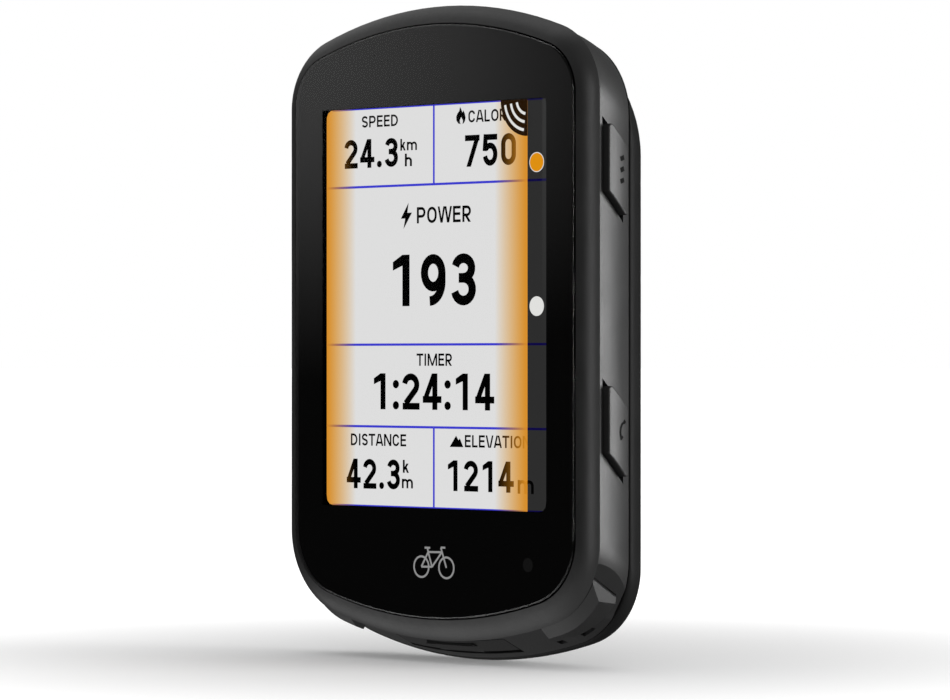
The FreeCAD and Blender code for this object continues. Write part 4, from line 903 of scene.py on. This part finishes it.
def add_key_icons():
    """Small printed marks that follow the rounded faces of the side keys."""
    ink = moulded("key_marks", 0.0008, 0.0016, 0.6, level=0.1)
    proud, sunk = 0.02 * MM, 0.05 * MM

    def on_key(node):
        low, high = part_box(node)
        side = 1 if high.x > 0 else -1
        skin = bmesh.new()
        skin.from_mesh(nodes[node].data)
        tree = BVHTree.FromBMesh(skin)
        skin.free()
        middle = Vector((0, (low.y + high.y) / 2 + 0.45 * MM, (low.z + high.z) / 2))

        def place(u, v, h):
            start = middle + Vector((side * 0.04, side * u * MM, v * MM))
            hit = tree.ray_cast(start, Vector((-side, 0, 0)))[0]
            return hit + Vector((side * (h * (proud + sunk) - sunk), 0, 0))

        return place

    marks = {
        "menu_key": [([(-0.36, v - 0.12), (0.36, v + 0.12)], 0.62) for v in (1.42, 0.0, -1.42)],
        "back_key": [
            ([(0.48, 1.2), (-0.02, 0.92), (-0.3, 0.45), (-0.38, -0.1), (-0.3, -0.65), (-0.2, -1.1)], 0.34),
            ([(0.62, 1.35), (0.34, 1.02)], 0.5), ([(0.12, -0.62), (-0.25, -1.0)], 0.34),
        ],
        "power_key": [(arc(0, 0, 0.8, 0.8, 125, 415, 18), 0.28), ([(0, 0.25), (0, 1.05)], 0.28)],
        "up_key": [([(-0.75, -0.4), (0, 0.5), (0.75, -0.4)], 0.34)],
        "down_key": [([(-0.75, 0.4), (0, -0.5), (0.75, 0.4)], 0.34)],
    }
    for node, strokes in marks.items():
        bm = bmesh.new()
        place = on_key(node)
        for points, width in strokes:
            add_stroke(bm, points, width, place)
        button = node.replace("_key", "_button")
        finish_mesh(f"{node}_mark", bm, ink, button)


# ------------------------------------------------------------------ finishes of the carried-over parts

def finish_cad_nodes():
    housing = moulded("housing_plastic", 0.019, 0.024, 0.42)
    cover = moulded("cover_plastic", 0.009, 0.012, 0.56, grain=5200.0, level=0.12)
    mount = moulded("mount_plastic", 0.016, 0.024, 0.5, grain=2600.0, relief=0.00002)
    keys = moulded("key_plastic", 0.020, 0.026, 0.42, grain=5200.0)
    rubber = moulded("seal_rubber", 0.010, 0.014, 0.7, grain=3000.0, level=0.3)
    cap = moulded("cap_rubber", 0.012, 0.017, 0.6, grain=4200.0, level=0.35)
    black_glue = moulded("black_adhesive", 0.004, 0.007, 0.6)
    steel = metal("screw_steel", (0.52, 0.52, 0.54), 0.3)
    tin = metal("shield_tin", (0.72, 0.72, 0.72), 0.34, stretch=(1, 1, 12))
    gold = metal("spring_steel", (0.6, 0.58, 0.55), 0.28)
    brass = metal("brass_disc", (0.7, 0.5, 0.22), 0.3)
    film = tinted("solar_film", (0.02, 0.015, 0.03), (0.03, 0.022, 0.045), 0.25, scale=3000.0)
    glass = tinted("display_glass", (0.02, 0.02, 0.022), (0.035, 0.035, 0.04), 0.15)
    flex = tinted("flex_film", (0.32, 0.13, 0.03), (0.42, 0.18, 0.05), 0.35, scale=1200.0)
    chip = tinted("chip_plastic", (0.012, 0.012, 0.013), (0.022, 0.022, 0.024), 0.55)
    ceramic = tinted("antenna_ceramic", (0.6, 0.52, 0.4), (0.7, 0.62, 0.5), 0.45)
    membrane = tinted("membrane", (0.72, 0.72, 0.72), (0.85, 0.85, 0.85), 0.85, scale=6000.0,
                      relief=0.00003)
    board = make_board_material()
    pouch = make_battery_material()
    finishes = {
        housing: ["front_housing"], cover: ["rear_cover"], mount: ["quarter_turn_mount"],
        rubber: ["housing_seal", "usb_gasket", "key_seals"], cap: ["weather_cap"],
        black_glue: ["lens_adhesive", "battery_tape"],
        steel: ["cover_screws", "mount_screws", "board_screws"],
        tin: ["processor_shield", "radio_shield", "usb_receptacle", "display_frame"],
        gold: ["tact_switches"], brass: ["buzzer"], film: ["solar_film_left", "solar_film_right"],
        glass: ["display_panel", "backlight_unit"], flex: ["display_flex", "radio_antenna", "battery_lead"],
        chip: ["board_chips", "ambient_light_sensor", "pressure_sensor"], ceramic: ["gnss_antenna"],
        membrane: ["vent_membrane"], board: ["main_board"], pouch: ["battery"],
    }
    for label in ("power", "up", "down", "menu", "back", "lap", "start"):
        finishes.setdefault(keys, []).append(f"{label}_key")
        finishes.setdefault(gold, []).append(f"{label}_key_clip")
    for material, names in finishes.items():
        for name in names:
            slots = nodes[name].data.materials
            slots.clear()
            slots.append(material)


# ------------------------------------------------------------------ the scene

add_camera()
add_world()
add_floor()
for softbox in SOFTBOXES:
    add_softbox(*softbox)
bpy.context.scene.view_settings.view_transform = "Standard"

add_display()
add_lens()
add_lens_marks()
add_key_icons()
finish_cad_nodes()
